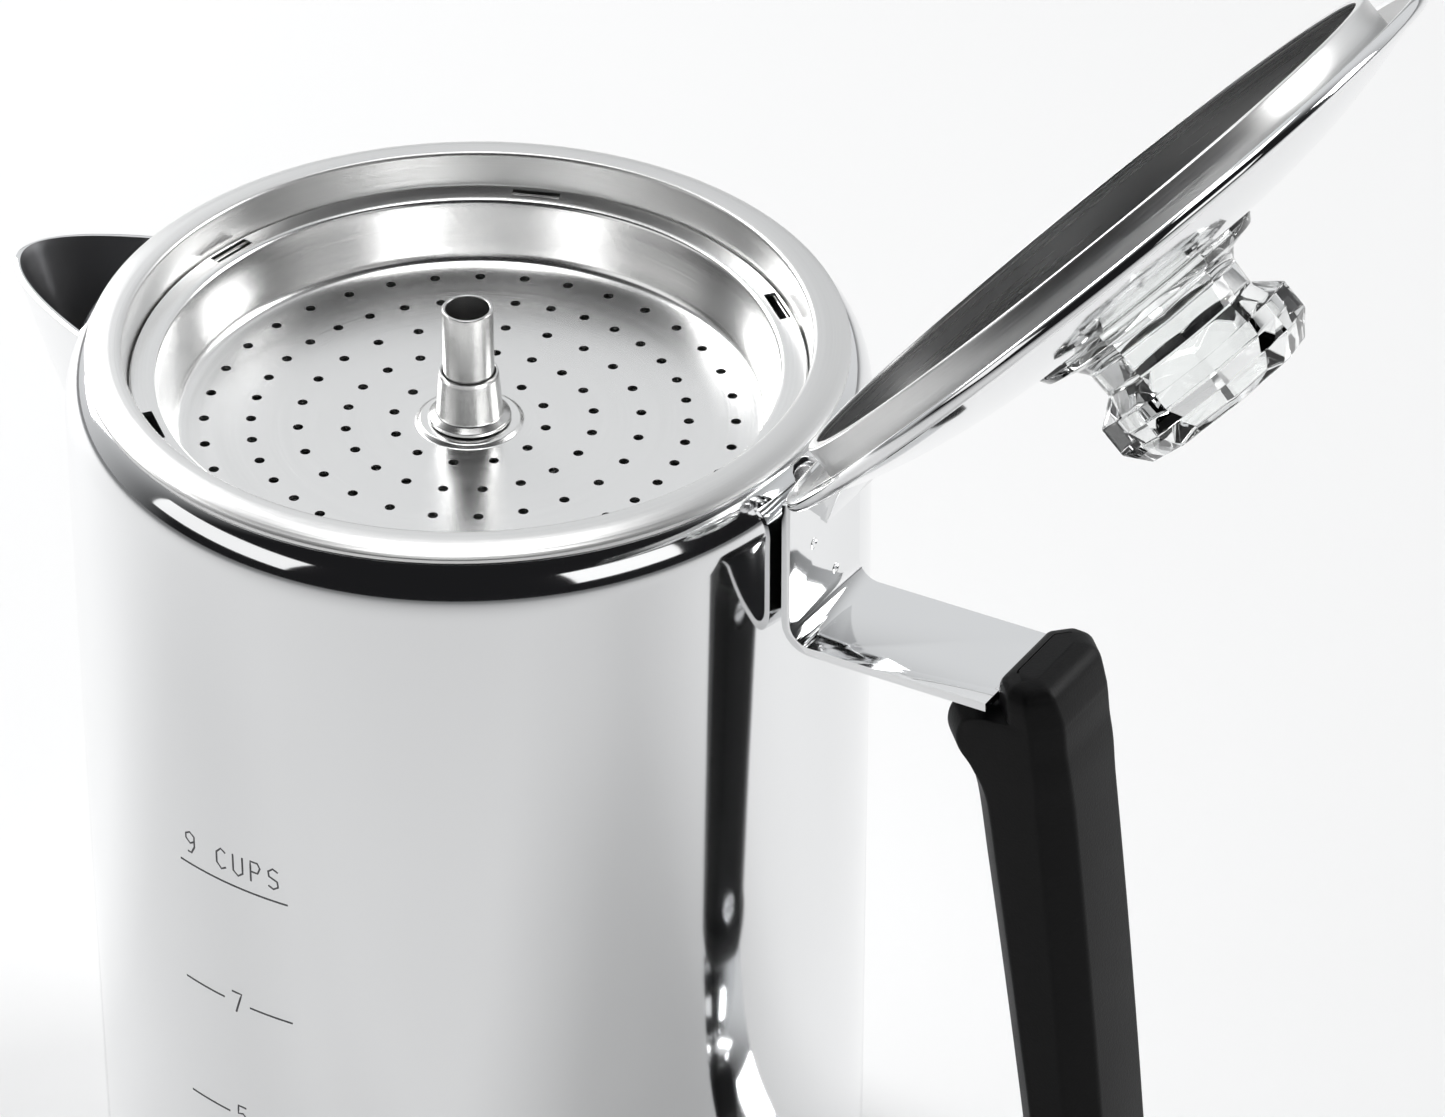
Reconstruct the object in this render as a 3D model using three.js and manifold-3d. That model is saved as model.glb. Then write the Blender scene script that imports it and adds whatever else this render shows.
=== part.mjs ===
// Stainless-steel coffee percolator for the camp stove, with its lid hinged open.
// Millimetres, +Z up. The origin is on the pot's axis, at the plane that it stands on.
// The handle points along +X and the spout along -X.
import * as THREE from 'three';
import { mergeVertices } from 'three/addons/utils/BufferGeometryUtils.js';
import Module from 'manifold-3d';

const wasm = await Module();
wasm.setup();

// ---------------------------------------------------------------- driving dimensions
const clearance = 0.3;            // gap between pieces that rest on or are welded to each other
const bodyRadius = 65;            // outside of the pot wall
const rimHeight = 178;            // height of the basket flange's outer edge
const sheet = 0.8;                // pot, lid and basket sheet
const aroundLarge = 36;           // facets round the pot, lid and basket
const aroundSmall = 20;           // facets round tubes and pins

// pot
const baseDiscInset = 9;
const baseDiscThickness = 3;
const cornerRadius = 6;           // between the pot's wall and its floor
const shoulderDrop = 9.2;         // the shoulder's height, from the wall to the mouth
const mouthFit = 1.1;             // the basket's upper wall in the mouth
const mouthRound = 1.2;
const neckDepth = 3.2;            // the rolled-in lip below the mouth

// spout
const spoutTopDrop = 11.6;        // rim to the spout's top edge
const spoutReach = 24;            // the tip's distance from the wall
const spoutLength = 68;           // top edge to the keel's lower end
const spoutHalfWidth = 17;
const spoutSheet = 1;
const windowTopDrop = 15;         // pour window in the wall behind the spout
const windowHeight = 30;
const windowHalfWidth = 9;

// basket
const flangeInset = 3.5;          // the flange's edge, in from the pot wall
const flangeWidth = 6;
const flangeRise = 1.5;           // the flange's crown, above its outer edge
const upperWallDepth = 5.6;       // crown to the spreader's ledge
const upperWallTaper = 0.8;
const stepWidth = 1.1;            // the step that carries the spreader
const basketDepth = 60;           // rim to the basket's floor
const basketRings = [8, 12, 16];
const basketFirstRing = 14;
const basketRingInset = 12;       // last ring of holes, in from the cup's wall
const sleeveHeight = 12;

// spreader
const ledgeThickness = 0.7;
const spreaderGap = 3.5;          // basket cup to the spreader's wall
const spreaderTaper = 2.5;
const spreaderDepth = 15;         // rim to the top of the perforated disc
const spreaderRings = [12, 20, 24, 36, 36];
const spreaderFirstRing = 12.5;
const spreaderRingInset = 4.6;
const perforation = 0.85;         // hole radius
const patternTurn = 111;          // degrees from the handle to the line that all rings share
const slotCount = 6;
const slotLength = 8;
const slotWidth = 2;
const embossRadius = 8.8;
const embossRise = 0.6;
const collarWall = 0.5;
const collarFlare = 0.5;
const collarHeight = 9.6;

// stem
const stemRadius = 4.15;
const stemWall = 0.6;
const stemRise = 6.5;             // stem top above the rim
const stemGap = 9;                // bell's foot to the tube's lower end
const slidingFit = 0.25;          // stem in its collar and sleeve
const bellRadius = 24;
const bellHeight = 20;

// lid
const lidInset = 0.2;             // rolled rim, in from the flange's edge
const rimBead = 1.2;
const domeRise = 7.2;
const seatWidth = 5.4;            // flat round the knob's hole
const skirtFit = 1.3;             // skirt inside the basket's upper wall
const skirtDepth = 5;
const skirtSheet = 0.7;

// knob
const knobHoleRadius = 15.6;
const knobFit = 0.5;              // glass collar in the lid's hole
const knobFlangeReach = 4.4;      // flange, out from the hole's edge
const knobNeckInset = 1.8;
const knobHeadFlare = 3.8;        // head, out from the neck
const knobGlassWall = 4.4;        // hole's edge to the bore
const knobHeight = 21;
const knobCrown = 2.6;            // glass over the top of the bore
const knobCollarDepth = 5;
const knobFacets = 8;
const lugReach = 1.7;
const lugWidth = 8;
const lugThickness = 1.8;
const springSheet = 0.6;
const springWidth = 4;

// hinge
const hingeReach = 4.5;           // pin centre, out from the pot wall
const hingeRise = 3.5;            // pin centre above the rim height
const openAngle = 132;
const pinRadius = 1.6;
const pinFit = 0.3;
const pinHead = 1;
const knuckleHalfWidth = 7;
const cheekSheet = 1.2;

// handle
const strapSheet = 1.5;
const strapWidth = 21.5;
const plateGap = 0.4;             // strap plate to the wall's crest
const plateTopDrop = 2;
const upperArmDrop = 28.3;        // rim to the upper arm's middle
const armRise = 1.4;              // the upper arm climbs this much on its way out
const bendRadius = 4.2;
const gripMargin = 0.5;           // grip width over the strap's
const gripEntryReach = 37.8;      // pot wall to the face where the strap goes in
const gripReach = 42.9;           // pot wall to the grip's middle, where its straight part starts
const gripTopDrop = 21.8;
const gripStraightDrop = 45;
const gripBottomHeight = 43;
const gripLean = 0.148;
const gripCurve = 0.0002;
const gripHalfDepth = 8.9;
const gripThinning = 0.022;
const tangWidth = 13;             // the straps' narrow ends inside the grip
const upperTangDrop = 54;
const lowerTangRise = 24;
const upperScrewDrop = 47;
const lowerScrewRise = 16;
const lowerArmHeight = 26;
const lowerPlateHeight = 10;
const lowerSweep = 20;
const socketFit = 0.3;
const screwRadius = 1.7;
const screwHeadRadius = 3.2;
const screwHeadDepth = 1.8;

// ---------------------------------------------------------------- finishes
const mirrorSteel = { color: 0xd9dcdf, roughness: 0.08, metalness: 1 };
const satinSteel = { color: 0xc9cccf, roughness: 0.34, metalness: 1 };
const blackGrip = { color: 0x111113, roughness: 0.42, metalness: 0 };
const clearGlass = { color: 0xf4f8f8, roughness: 0.03, metalness: 0, transparent: true, opacity: 0.35 };

// ---------------------------------------------------------------- helpers
const radians = THREE.MathUtils.degToRad;

/** Signed volume of an indexed triangle list: negative when its faces point in. */
function signedVolume(positions, indices) {
  const [a, b, c] = [new THREE.Vector3(), new THREE.Vector3(), new THREE.Vector3()];
  let volume = 0;
  for (let i = 0; i < indices.length; i += 3) {
    a.fromArray(positions, 3 * indices[i]);
    b.fromArray(positions, 3 * indices[i + 1]);
    c.fromArray(positions, 3 * indices[i + 2]);
    volume += a.dot(b.cross(c)) / 6;
  }
  return volume;
}

/** A closed three.js geometry as a solid whose faces point out. */
function solid(geometry) {
  const bare = geometry.clone();
  bare.deleteAttribute('normal');
  bare.deleteAttribute('uv');
  const merged = mergeVertices(bare, 1e-4);
  const positions = merged.attributes.position.array;
  const kept = [];
  const index = merged.index.array;
  for (let i = 0; i < index.length; i += 3) {
    const [a, b, c] = [index[i], index[i + 1], index[i + 2]];
    if (a !== b && b !== c && c !== a) kept.push(a, b, c);
  }
  if (signedVolume(positions, kept) < 0) kept.reverse();
  return new wasm.Manifold(new wasm.Mesh({
    numProp: 3,
    vertProperties: new Float32Array(positions),
    triVerts: new Uint32Array(kept),
  }));
}

/** Several solids joined into one. */
function joined(solids) {
  return solids.reduce((sum, next) => sum.add(next));
}

/** A solid as a named mesh in its own finish. */
function piece(name, shape, finish) {
  const mesh = shape.getMesh();
  const geometry = new THREE.BufferGeometry();
  geometry.setAttribute('position', new THREE.BufferAttribute(new Float32Array(mesh.vertProperties), 3));
  geometry.setIndex(new THREE.BufferAttribute(new Uint32Array(mesh.triVerts), 1));
  geometry.computeVertexNormals();
  const result = new THREE.Mesh(geometry, new THREE.MeshStandardMaterial(finish));
  result.name = name;
  return result;
}

/** Turn a closed (radius, height) outline about the Z axis. */
function turned(outline, around = aroundLarge) {
  const points = outline.map(([radius, height]) => new THREE.Vector2(radius, height));
  points.push(points[0].clone());
  const geometry = new THREE.LatheGeometry(points, around);
  return solid(geometry.rotateX(Math.PI / 2));
}

/** Extrude an (x, z) outline to a width centred on y. */
function plate(outline, width, y = 0) {
  const shape = new THREE.Shape(outline.map(([x, z]) => new THREE.Vector2(x, z)));
  const geometry = new THREE.ExtrudeGeometry(shape, { depth: width, bevelEnabled: false });
  geometry.rotateX(Math.PI / 2);
  geometry.translate(0, y + width / 2, 0);
  return solid(geometry);
}

/** A bar of round section between two heights, at (x, y). */
function upright(radius, low, high, x = 0, y = 0, around = aroundSmall) {
  const geometry = new THREE.CylinderGeometry(radius, radius, high - low, around);
  geometry.rotateX(Math.PI / 2);
  geometry.translate(x, y, (low + high) / 2);
  return solid(geometry);
}

/** A bar of round section along Y, centred at (x, y, z). */
function crosswise(radius, length, x, z, y = 0) {
  const geometry = new THREE.CylinderGeometry(radius, radius, length, aroundSmall);
  geometry.translate(x, y, z);
  return solid(geometry);
}

/** A bar of round section along X. */
function lengthwise(radius, from, to, z, around) {
  const geometry = new THREE.CylinderGeometry(radius, radius, to - from, around);
  geometry.rotateZ(Math.PI / 2);
  geometry.translate((from + to) / 2, 0, z);
  return solid(geometry);
}

/** Points on an arc in the (x, z) plane, angles in degrees. */
function arc(cx, cz, radius, from, to, steps) {
  return Array.from({ length: steps + 1 }, (_, i) => {
    const angle = radians(from + (to - from) * i / steps);
    return [cx + radius * Math.cos(angle), cz + radius * Math.sin(angle)];
  });
}

/** Evenly spaced values from first to last. */
function spaced(first, last, count) {
  return Array.from({ length: count }, (_, i) => first + (last - first) * i / (count - 1));
}

/** Outline of a bent sheet: the line's points pushed half a thickness to each side. */
function bentSheet(line, thickness) {
  const left = [];
  const right = [];
  line.forEach(([x, z], i) => {
    const [ax, az] = line[Math.max(i - 1, 0)];
    const [bx, bz] = line[Math.min(i + 1, line.length - 1)];
    const span = Math.hypot(bx - ax, bz - az);
    const nx = -(bz - az) / span * thickness / 2;
    const nz = (bx - ax) / span * thickness / 2;
    left.push([x + nx, z + nz]);
    right.push([x - nx, z - nz]);
  });
  return left.concat(right.reverse());
}

/** Closed sections of equally many points, joined into one solid with flat ends. */
function lofted(sections) {
  const count = sections[0].length;
  const positions = sections.flat(2);
  const index = [];
  for (let row = 0; row + 1 < sections.length; row += 1) {
    for (let i = 0; i < count; i += 1) {
      const a = row * count + i;
      const b = row * count + (i + 1) % count;
      index.push(a, b, b + count, a, b + count, a + count);
    }
  }
  for (const [row, flip] of [[0, true], [sections.length - 1, false]]) {
    const flat = sections[row].map(([x, y]) => new THREE.Vector2(x, y));
    for (const [a, b, c] of THREE.ShapeUtils.triangulateShape(flat, [])) {
      const corners = [a, b, c].map((i) => row * count + i);
      index.push(...(flip ? corners.reverse() : corners));
    }
  }
  const geometry = new THREE.BufferGeometry();
  geometry.setAttribute('position', new THREE.Float32BufferAttribute(positions, 3));
  geometry.setIndex(index);
  return solid(geometry);
}

/** Holes of a perforated disc: rings of holes that all share one line from the centre. */
function perforations(radii, counts, low, high) {
  const tools = [];
  radii.forEach((radius, ring) => {
    for (let i = 0; i < counts[ring]; i += 1) {
      const angle = radians(patternTurn + 360 * i / counts[ring]);
      tools.push(upright(perforation, low, high, radius * Math.cos(angle), radius * Math.sin(angle), 6));
    }
  });
  return tools;
}

// ---------------------------------------------------------------- sizes that follow
const flangeRadius = bodyRadius - flangeInset;
const wallTopRadius = flangeRadius - flangeWidth;
const wallFootRadius = wallTopRadius - upperWallTaper;
const cupRadius = wallFootRadius - stepWidth;
const mouthRadius = wallTopRadius + sheet + mouthFit;
const crownHeight = rimHeight + flangeRise;
const floorLow = baseDiscThickness + clearance;
const floorTop = floorLow + sheet;
const hingeX = bodyRadius + hingeReach;
const pinZ = rimHeight + hingeRise;
const knuckleInner = pinRadius + pinFit;
const knuckleOuter = knuckleInner + strapSheet;

/** Height of the flange's top face at a radius: level at its crown, then falling outwards. */
function flangeHeight(radius) {
  const crownRadius = wallTopRadius + 1.5;
  const out = Math.max(radius - crownRadius, 0) / (flangeRadius - crownRadius);
  return crownHeight - flangeRise * out * out;
}

// ---------------------------------------------------------------- pot
const shoulderRun = bodyRadius - mouthRadius - mouthRound;
const underFlange = (flangeRadius - bodyRadius) / shoulderRun + 1;
const shoulderDip = shoulderDrop * (1 - Math.sqrt(1 - underFlange * underFlange));
const shoulderTop = rimHeight - sheet - clearance + shoulderDip;

/** The shoulder's outline, from the wall up and in to the mouth, in from the outside by inset. */
function shoulder(inset) {
  return spaced(0, 90, 7).map((degrees) => {
    const angle = radians(degrees);
    const radius = bodyRadius - shoulderRun + (shoulderRun - inset) * Math.cos(angle);
    return [radius, shoulderTop - shoulderDrop + (shoulderDrop - inset) * Math.sin(angle)];
  });
}

function pourWindow() {
  const top = rimHeight - windowTopDrop;
  const outline = new THREE.Shape();
  outline.moveTo(-windowHalfWidth, top);
  outline.lineTo(windowHalfWidth, top);
  outline.quadraticCurveTo(windowHalfWidth * 0.8, top - windowHeight * 0.7, 0, top - windowHeight);
  outline.quadraticCurveTo(-windowHalfWidth * 0.8, top - windowHeight * 0.7, -windowHalfWidth, top);
  const cut = new THREE.ExtrudeGeometry(outline, { depth: 12, bevelEnabled: false, curveSegments: 5 });
  cut.rotateX(Math.PI / 2);
  cut.rotateZ(Math.PI / 2);
  cut.translate(-bodyRadius - 6, 0, 0);
  return solid(cut);
}

function potBody() {
  const cornerX = bodyRadius - cornerRadius;
  const cornerZ = floorLow + cornerRadius;
  const outside = [
    [0, floorLow],
    ...arc(cornerX, cornerZ, cornerRadius, -90, 0, 4),
    ...shoulder(0),
    [mouthRadius, shoulderTop - 1],
    [mouthRadius, shoulderTop - neckDepth],
  ];
  const inside = [
    [mouthRadius + sheet, shoulderTop - neckDepth],
    [mouthRadius + sheet, shoulderTop - sheet - 0.8],
    ...shoulder(sheet).reverse(),
    ...arc(cornerX, cornerZ, cornerRadius - sheet, 0, -90, 4),
    [0, floorTop],
  ];
  return turned([...outside, ...inside]).subtract(pourWindow());
}

function baseDisc() {
  const radius = bodyRadius - baseDiscInset;
  const edge = 1.2;
  return turned([
    [0, 0],
    [radius - edge, 0],
    [radius, edge],
    [radius, baseDiscThickness],
    [0, baseDiscThickness],
  ]);
}

// ---------------------------------------------------------------- spout
/** Level sections of the spout, from its top edge down; inset gives the hollow. */
function spoutSections(inset, topExtra) {
  const rows = 6;
  const across = 12;
  const back = bodyRadius - 7;
  return spaced(0, 1, rows + 1).map((down, row) => {
    const reach = Math.max((spoutReach + 1.5) * (1 - down) - inset * 1.2, 0.4);
    const half = Math.max(spoutHalfWidth * Math.pow(1 - down, 0.85) + 0.8 - inset, 0.4);
    const height = rimHeight - spoutTopDrop + (row === 0 ? topExtra : 0) - spoutLength * down;
    const front = spaced(1, -1, across + 1).map((side) => (
      [-(bodyRadius - 1.5 + reach * (1 - side * side)), half * side, height]
    ));
    return [[-back, half, height], ...front, [-back, -half, height]];
  });
}

function spout() {
  const outer = lofted(spoutSections(0, 0));
  const hollow = lofted(spoutSections(spoutSheet, 2));
  const wall = upright(bodyRadius + clearance, 0, rimHeight + 20, 0, 0, aroundLarge * 2);
  return outer.subtract(hollow).subtract(wall);
}

// ---------------------------------------------------------------- handle
const plateX = bodyRadius + plateGap + strapSheet / 2;
const gripWidth = strapWidth + gripMargin;
const gripEntryX = bodyRadius + gripEntryReach;
const gripBottomDrop = rimHeight - gripBottomHeight;
const lowerScrewDrop = gripBottomDrop - lowerScrewRise;
const armZ = rimHeight - upperArmDrop;
const armEndZ = armZ + armRise;

/** Middle of the grip at a distance below the rim: it leans out as it goes down. */
function gripLine(drop) {
  const down = drop - gripStraightDrop;
  return bodyRadius + gripReach + gripLean * down - gripCurve * down * down;
}

const upperTangX = gripLine(upperScrewDrop);
const lowerTangX = gripLine(gripBottomDrop);
const upperTangLine = [
  [gripEntryX - 1, armEndZ],
  ...arc(upperTangX - bendRadius, armEndZ - bendRadius, bendRadius, 90, 0, 4),
  [upperTangX, rimHeight - upperTangDrop],
];
const lowerTangLine = [
  [lowerTangX, gripBottomHeight - 1],
  [lowerTangX, gripBottomHeight + lowerTangRise],
];

/** The screws go in from the side of the grip that faces the pot. */
function screwSeatX(drop) {
  return gripLine(drop) - 5.2;
}

function screwHole(drop) {
  return lengthwise(screwRadius + clearance, screwSeatX(drop) - 1, gripLine(drop) + 4.5, rimHeight - drop, 12);
}

function screwSeat(drop) {
  const seat = screwSeatX(drop);
  return lengthwise(screwHeadRadius + clearance, seat - 12, seat, rimHeight - drop, 16);
}

function gripScrew(drop) {
  const seat = screwSeatX(drop) - clearance;
  const face = seat - screwHeadDepth;
  const z = rimHeight - drop;
  const slot = [[face - 1, z - 0.45], [face + 0.8, z - 0.45], [face + 0.8, z + 0.45], [face - 1, z + 0.45]];
  return lengthwise(screwHeadRadius, face, seat, z, 16)
    .add(lengthwise(screwRadius, seat - 0.5, gripLine(drop) + 4, z, 12))
    .subtract(plate(slot, 3 * screwHeadRadius));
}

function upperStrap() {
  const line = [
    [plateX, rimHeight - plateTopDrop],
    ...arc(plateX + bendRadius, armZ + bendRadius, bendRadius, 180, 268, 5),
    [gripEntryX - clearance, armEndZ],
  ];
  const inner = plateX - strapSheet / 2;
  const outer = plateX + strapSheet / 2;
  const neck = [
    [inner, rimHeight - plateTopDrop - 2],
    [outer, rimHeight - plateTopDrop - 2],
    [outer, rimHeight - 1],
    [hingeX - knuckleInner - 0.2, pinZ - 1],
    [hingeX - knuckleInner - 0.2, pinZ],
    [hingeX - knuckleOuter, pinZ],
    [inner, rimHeight - 1],
  ];
  return plate(bentSheet(line, strapSheet), strapWidth)
    .add(plate(bentSheet(upperTangLine, strapSheet), tangWidth))
    .add(plate(neck, 2 * knuckleHalfWidth))
    .add(crosswise(knuckleOuter, 2 * knuckleHalfWidth, hingeX, pinZ))
    .subtract(crosswise(knuckleInner, 4 * knuckleHalfWidth, hingeX, pinZ))
    .subtract(screwHole(upperScrewDrop));
}

function lowerStrap() {
  const line = [
    [lowerTangX, gripBottomHeight - clearance],
    ...arc(lowerTangX - lowerSweep, lowerArmHeight + lowerSweep, lowerSweep, 0, -90, 7).slice(1),
    ...arc(plateX + bendRadius, lowerArmHeight - bendRadius, bendRadius, 90, 180, 4),
    [plateX, lowerPlateHeight],
  ];
  return plate(bentSheet(line, strapSheet), strapWidth)
    .add(plate(bentSheet(lowerTangLine, strapSheet), tangWidth))
    .subtract(screwHole(lowerScrewDrop));
}

/** One level section of the grip: a rectangle with cut-off corners. */
function gripSection(inner, outer, drop, half, bevel) {
  const height = rimHeight - drop;
  return [
    [inner + bevel, -half, height],
    [outer - bevel, -half, height],
    [outer, -half + bevel, height],
    [outer, half - bevel, height],
    [outer - bevel, half, height],
    [inner + bevel, half, height],
    [inner, half - bevel, height],
    [inner, -half + bevel, height],
  ];
}

function grip() {
  const half = gripWidth / 2;
  const depth = (drop) => gripHalfDepth - gripThinning * (drop - gripStraightDrop);
  const straight = (drop, inset, narrower, bevel) => gripSection(
    gripLine(drop) - depth(drop) + inset[0], gripLine(drop) + depth(drop) - inset[1], drop, half - narrower, bevel);
  const end = gripBottomDrop;
  const sections = [
    gripSection(gripEntryX + 1.8, gripEntryX + 6.7, gripTopDrop, half - 2.2, 2.2),
    gripSection(gripEntryX + 0.2, gripEntryX + 9.4, gripTopDrop + 1.5, half - 0.8, 3),
    gripSection(gripEntryX, gripEntryX + 10.8, gripTopDrop + 4, half, 3.6),
    gripSection(gripEntryX, gripEntryX + 11.6, upperArmDrop + 0.1, half, 4),
    gripSection(gripEntryX - 6.5, gripEntryX + 11.8, upperArmDrop + 1.3, half, 4),
    gripSection(gripEntryX - 9.2, gripEntryX + 12.4, upperArmDrop + 6.3, half, 4),
    gripSection(gripEntryX - 7.4, gripEntryX + 13.1, upperArmDrop + 9.7, half, 4),
    gripSection(gripEntryX - 4.6, gripEntryX + 13.7, upperArmDrop + 12.7, half, 4.2),
    ...spaced(gripStraightDrop, end - 14, 6).map((drop) => straight(drop, [0, 0], 0, 4.4)),
    straight(end - 11, [-1.4, 0], 0, 4.4),
    straight(end - 6, [-1.2, 0], 0, 4.4),
    straight(end - 2, [0.4, 0.8], 0.8, 4),
    straight(end, [2, 2.4], 2.4, 3),
  ];
  const fit = strapSheet + 2 * socketFit;
  const upperSocket = [[gripEntryX - 12, armEndZ], ...upperTangLine.slice(1, -1),
    [upperTangX, rimHeight - upperTangDrop - 1]];
  const lowerSocket = [[lowerTangX, gripBottomHeight - 3], [lowerTangX, gripBottomHeight + lowerTangRise + 1]];
  return lofted(sections.reverse())
    .subtract(plate(bentSheet(upperSocket, fit), tangWidth + 2 * socketFit))
    .subtract(plate(bentSheet(lowerSocket, fit), tangWidth + 2 * socketFit))
    .subtract(screwHole(upperScrewDrop))
    .subtract(screwHole(lowerScrewDrop))
    .subtract(screwSeat(upperScrewDrop))
    .subtract(screwSeat(lowerScrewDrop));
}

// ---------------------------------------------------------------- basket
const basketFloor = rimHeight - basketDepth;
const ledgeTop = crownHeight - upperWallDepth - clearance;
const stepHeight = ledgeTop - ledgeThickness - clearance;

function basket() {
  const flangeRows = [0, 0.4, 0.75, 1].map((share) => flangeRadius - share * (flangeWidth - 1.5));
  const top = flangeRows.map((radius) => [radius, flangeHeight(radius)]);
  const under = flangeRows.map((radius) => [radius, flangeHeight(radius) - sheet]).reverse();
  const outline = [
    ...top,
    [wallTopRadius + 0.5, crownHeight - 0.25],
    [wallTopRadius, crownHeight - 0.9],
    [wallFootRadius, stepHeight],
    [cupRadius, stepHeight],
    [cupRadius - 0.6, basketFloor + sheet + 4],
    [cupRadius - 4, basketFloor + sheet],
    [0, basketFloor + sheet],
    [0, basketFloor],
    [cupRadius - 3.4, basketFloor],
    [cupRadius - 0.6 + sheet, basketFloor + 4],
    [cupRadius + sheet, stepHeight - sheet],
    [wallFootRadius + sheet, stepHeight - sheet],
    [wallTopRadius + sheet, crownHeight - 1.3],
    ...under,
  ];
  const radii = spaced(basketFirstRing, cupRadius - basketRingInset, basketRings.length);
  const tools = perforations(radii, basketRings, basketFloor - 2, basketFloor + 3);
  tools.push(upright(stemRadius + slidingFit + sheet + clearance, basketFloor - 2, basketFloor + 3));
  return turned(outline).subtract(joined(tools));
}

/** The tube that guides the stem through the basket's floor, swaged over below it. */
function basketSleeve() {
  const inner = stemRadius + slidingFit;
  const outer = inner + sheet;
  return turned([
    [inner, basketFloor - clearance - sheet],
    [outer + 2.4, basketFloor - clearance - sheet],
    [outer + 2.4, basketFloor - clearance],
    [outer, basketFloor - clearance],
    [outer, basketFloor + sleeveHeight],
    [inner, basketFloor + sleeveHeight],
  ], aroundSmall);
}

// ---------------------------------------------------------------- spreader
const spreaderRim = wallFootRadius - 0.4;
const spreaderWall = cupRadius - spreaderGap;
const discRadius = spreaderWall - spreaderTaper;
const discTop = rimHeight - spreaderDepth;

function spreader() {
  const t = ledgeThickness;
  const outline = [
    [spreaderRim, ledgeTop],
    [spreaderWall + 1, ledgeTop],
    [spreaderWall, ledgeTop - 0.9],
    [discRadius + 0.9, discTop + 3],
    [discRadius + 0.2, discTop + 1],
    [discRadius - 1.6, discTop],
    [embossRadius, discTop],
    [embossRadius - 0.7, discTop + embossRise],
    [0, discTop + embossRise],
    [0, discTop + embossRise - t],
    [embossRadius - 0.9, discTop + embossRise - t],
    [embossRadius - 0.2, discTop - t],
    [discRadius - 1.2, discTop - t],
    [discRadius + 0.8, discTop + 0.6],
    [discRadius + 0.9 + t, discTop + 3],
    [spreaderWall + t, ledgeTop - t - 0.3],
    [spreaderRim, ledgeTop - t],
  ];
  const radii = spaced(spreaderFirstRing, discRadius - spreaderRingInset, spreaderRings.length);
  const tools = perforations(radii, spreaderRings, discTop - 3, discTop + 2);
  tools.push(upright(stemRadius + slidingFit, discTop - 3, discTop + 3));
  for (let i = 0; i < slotCount; i += 1) {
    const slot = new THREE.BoxGeometry(slotWidth, slotLength, 1.2);
    slot.translate((spreaderRim + spreaderWall + 1) / 2, 0, ledgeTop - t / 2);
    slot.rotateZ(radians(patternTurn + 360 * i / slotCount));
    tools.push(solid(slot));
  }
  return turned(outline).subtract(joined(tools));
}

/** The short flared collar that keeps the spreader centred on the stem. */
function spreaderCollar() {
  const foot = discTop + embossRise + clearance;
  const inner = stemRadius + slidingFit;
  const outer = inner + collarWall;
  return turned([
    [inner, foot],
    [outer + collarFlare + 1.4, foot],
    [outer + collarFlare + 1.2, foot + 0.5],
    [outer + collarFlare, foot + 1.2],
    [outer, discTop + collarHeight - 0.6],
    [outer - 0.15, discTop + collarHeight],
    [inner, discTop + collarHeight],
  ], aroundSmall);
}

// ---------------------------------------------------------------- stem
const bellFoot = floorTop + clearance;

function stemTube() {
  const low = bellFoot + stemGap;
  const high = rimHeight + stemRise;
  return upright(stemRadius, low, high, 0, 0, 24)
    .subtract(upright(stemRadius - stemWall, low - 1, high + 1, 0, 0, 24));
}

function stemBell() {
  const neck = stemRadius + clearance;
  const outline = [
    [neck, bellFoot + bellHeight],
    [neck, bellFoot + bellHeight - 5],
    [bellRadius - sheet, bellFoot],
    [bellRadius + 0.6, bellFoot],
    [bellRadius + 0.6, bellFoot + 0.7],
    [neck + sheet, bellFoot + bellHeight - 4.4],
    [neck + sheet, bellFoot + bellHeight],
  ];
  const notches = [0, 45, 90, 135].map((turn) => {
    const notch = new THREE.BoxGeometry(3 * bellRadius, 5, 3.2);
    notch.translate(0, 0, bellFoot);
    notch.rotateZ(radians(turn));
    return solid(notch);
  });
  return turned(outline, 32).subtract(joined(notches));
}

// ---------------------------------------------------------------- lid, as it lies when closed
const lidRadius = flangeRadius - lidInset;
const beadX = lidRadius - rimBead;
const lidHeight = flangeHeight(beadX) + clearance + rimBead;
const seatRadius = knobHoleRadius + seatWidth;
const domeEdge = beadX - 0.6;
const skirtRadius = wallFootRadius - skirtFit;

/** Height of the dome's underside above the middle of the rolled rim. */
function dome(radius) {
  const out = Math.max(radius - seatRadius, 0) / (domeEdge - seatRadius);
  return domeRise * (1 - out * out);
}

/** The cut that lets the knob's two lugs through the lid and its spring. */
function lugSlot() {
  const bar = new THREE.BoxGeometry(lugWidth + 1, 2 * (knobHoleRadius + lugReach), 6);
  bar.translate(0, 0, lidHeight + domeRise);
  return solid(bar);
}

function lidShell() {
  const radii = spaced(seatRadius, domeEdge - 3, 7);
  const above = radii.map((radius) => [radius, lidHeight + dome(radius) + sheet]);
  const below = radii.map((radius) => [radius, lidHeight + dome(radius)]).reverse();
  return turned([
    [knobHoleRadius, lidHeight + domeRise + sheet],
    ...above,
    ...arc(beadX, lidHeight, rimBead, 130, -150, 7),
    ...below,
    [knobHoleRadius, lidHeight + domeRise],
  ]).subtract(lugSlot());
}

function lidSkirt() {
  const under = (radius) => lidHeight + dome(radius) - clearance - 0.05;
  const foot = lidHeight - skirtDepth;
  const inner = skirtRadius - skirtSheet;
  return turned([
    [skirtRadius, foot],
    [skirtRadius, under(skirtRadius)],
    [inner - 2.7, under(inner - 2.7)],
    [inner - 2.7, under(inner - 2.7) - skirtSheet],
    [inner, under(inner) - skirtSheet],
    [inner, foot + skirtSheet],
    [inner - 1.1, foot + skirtSheet],
    [inner - 1.1, foot],
  ]);
}

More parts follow.
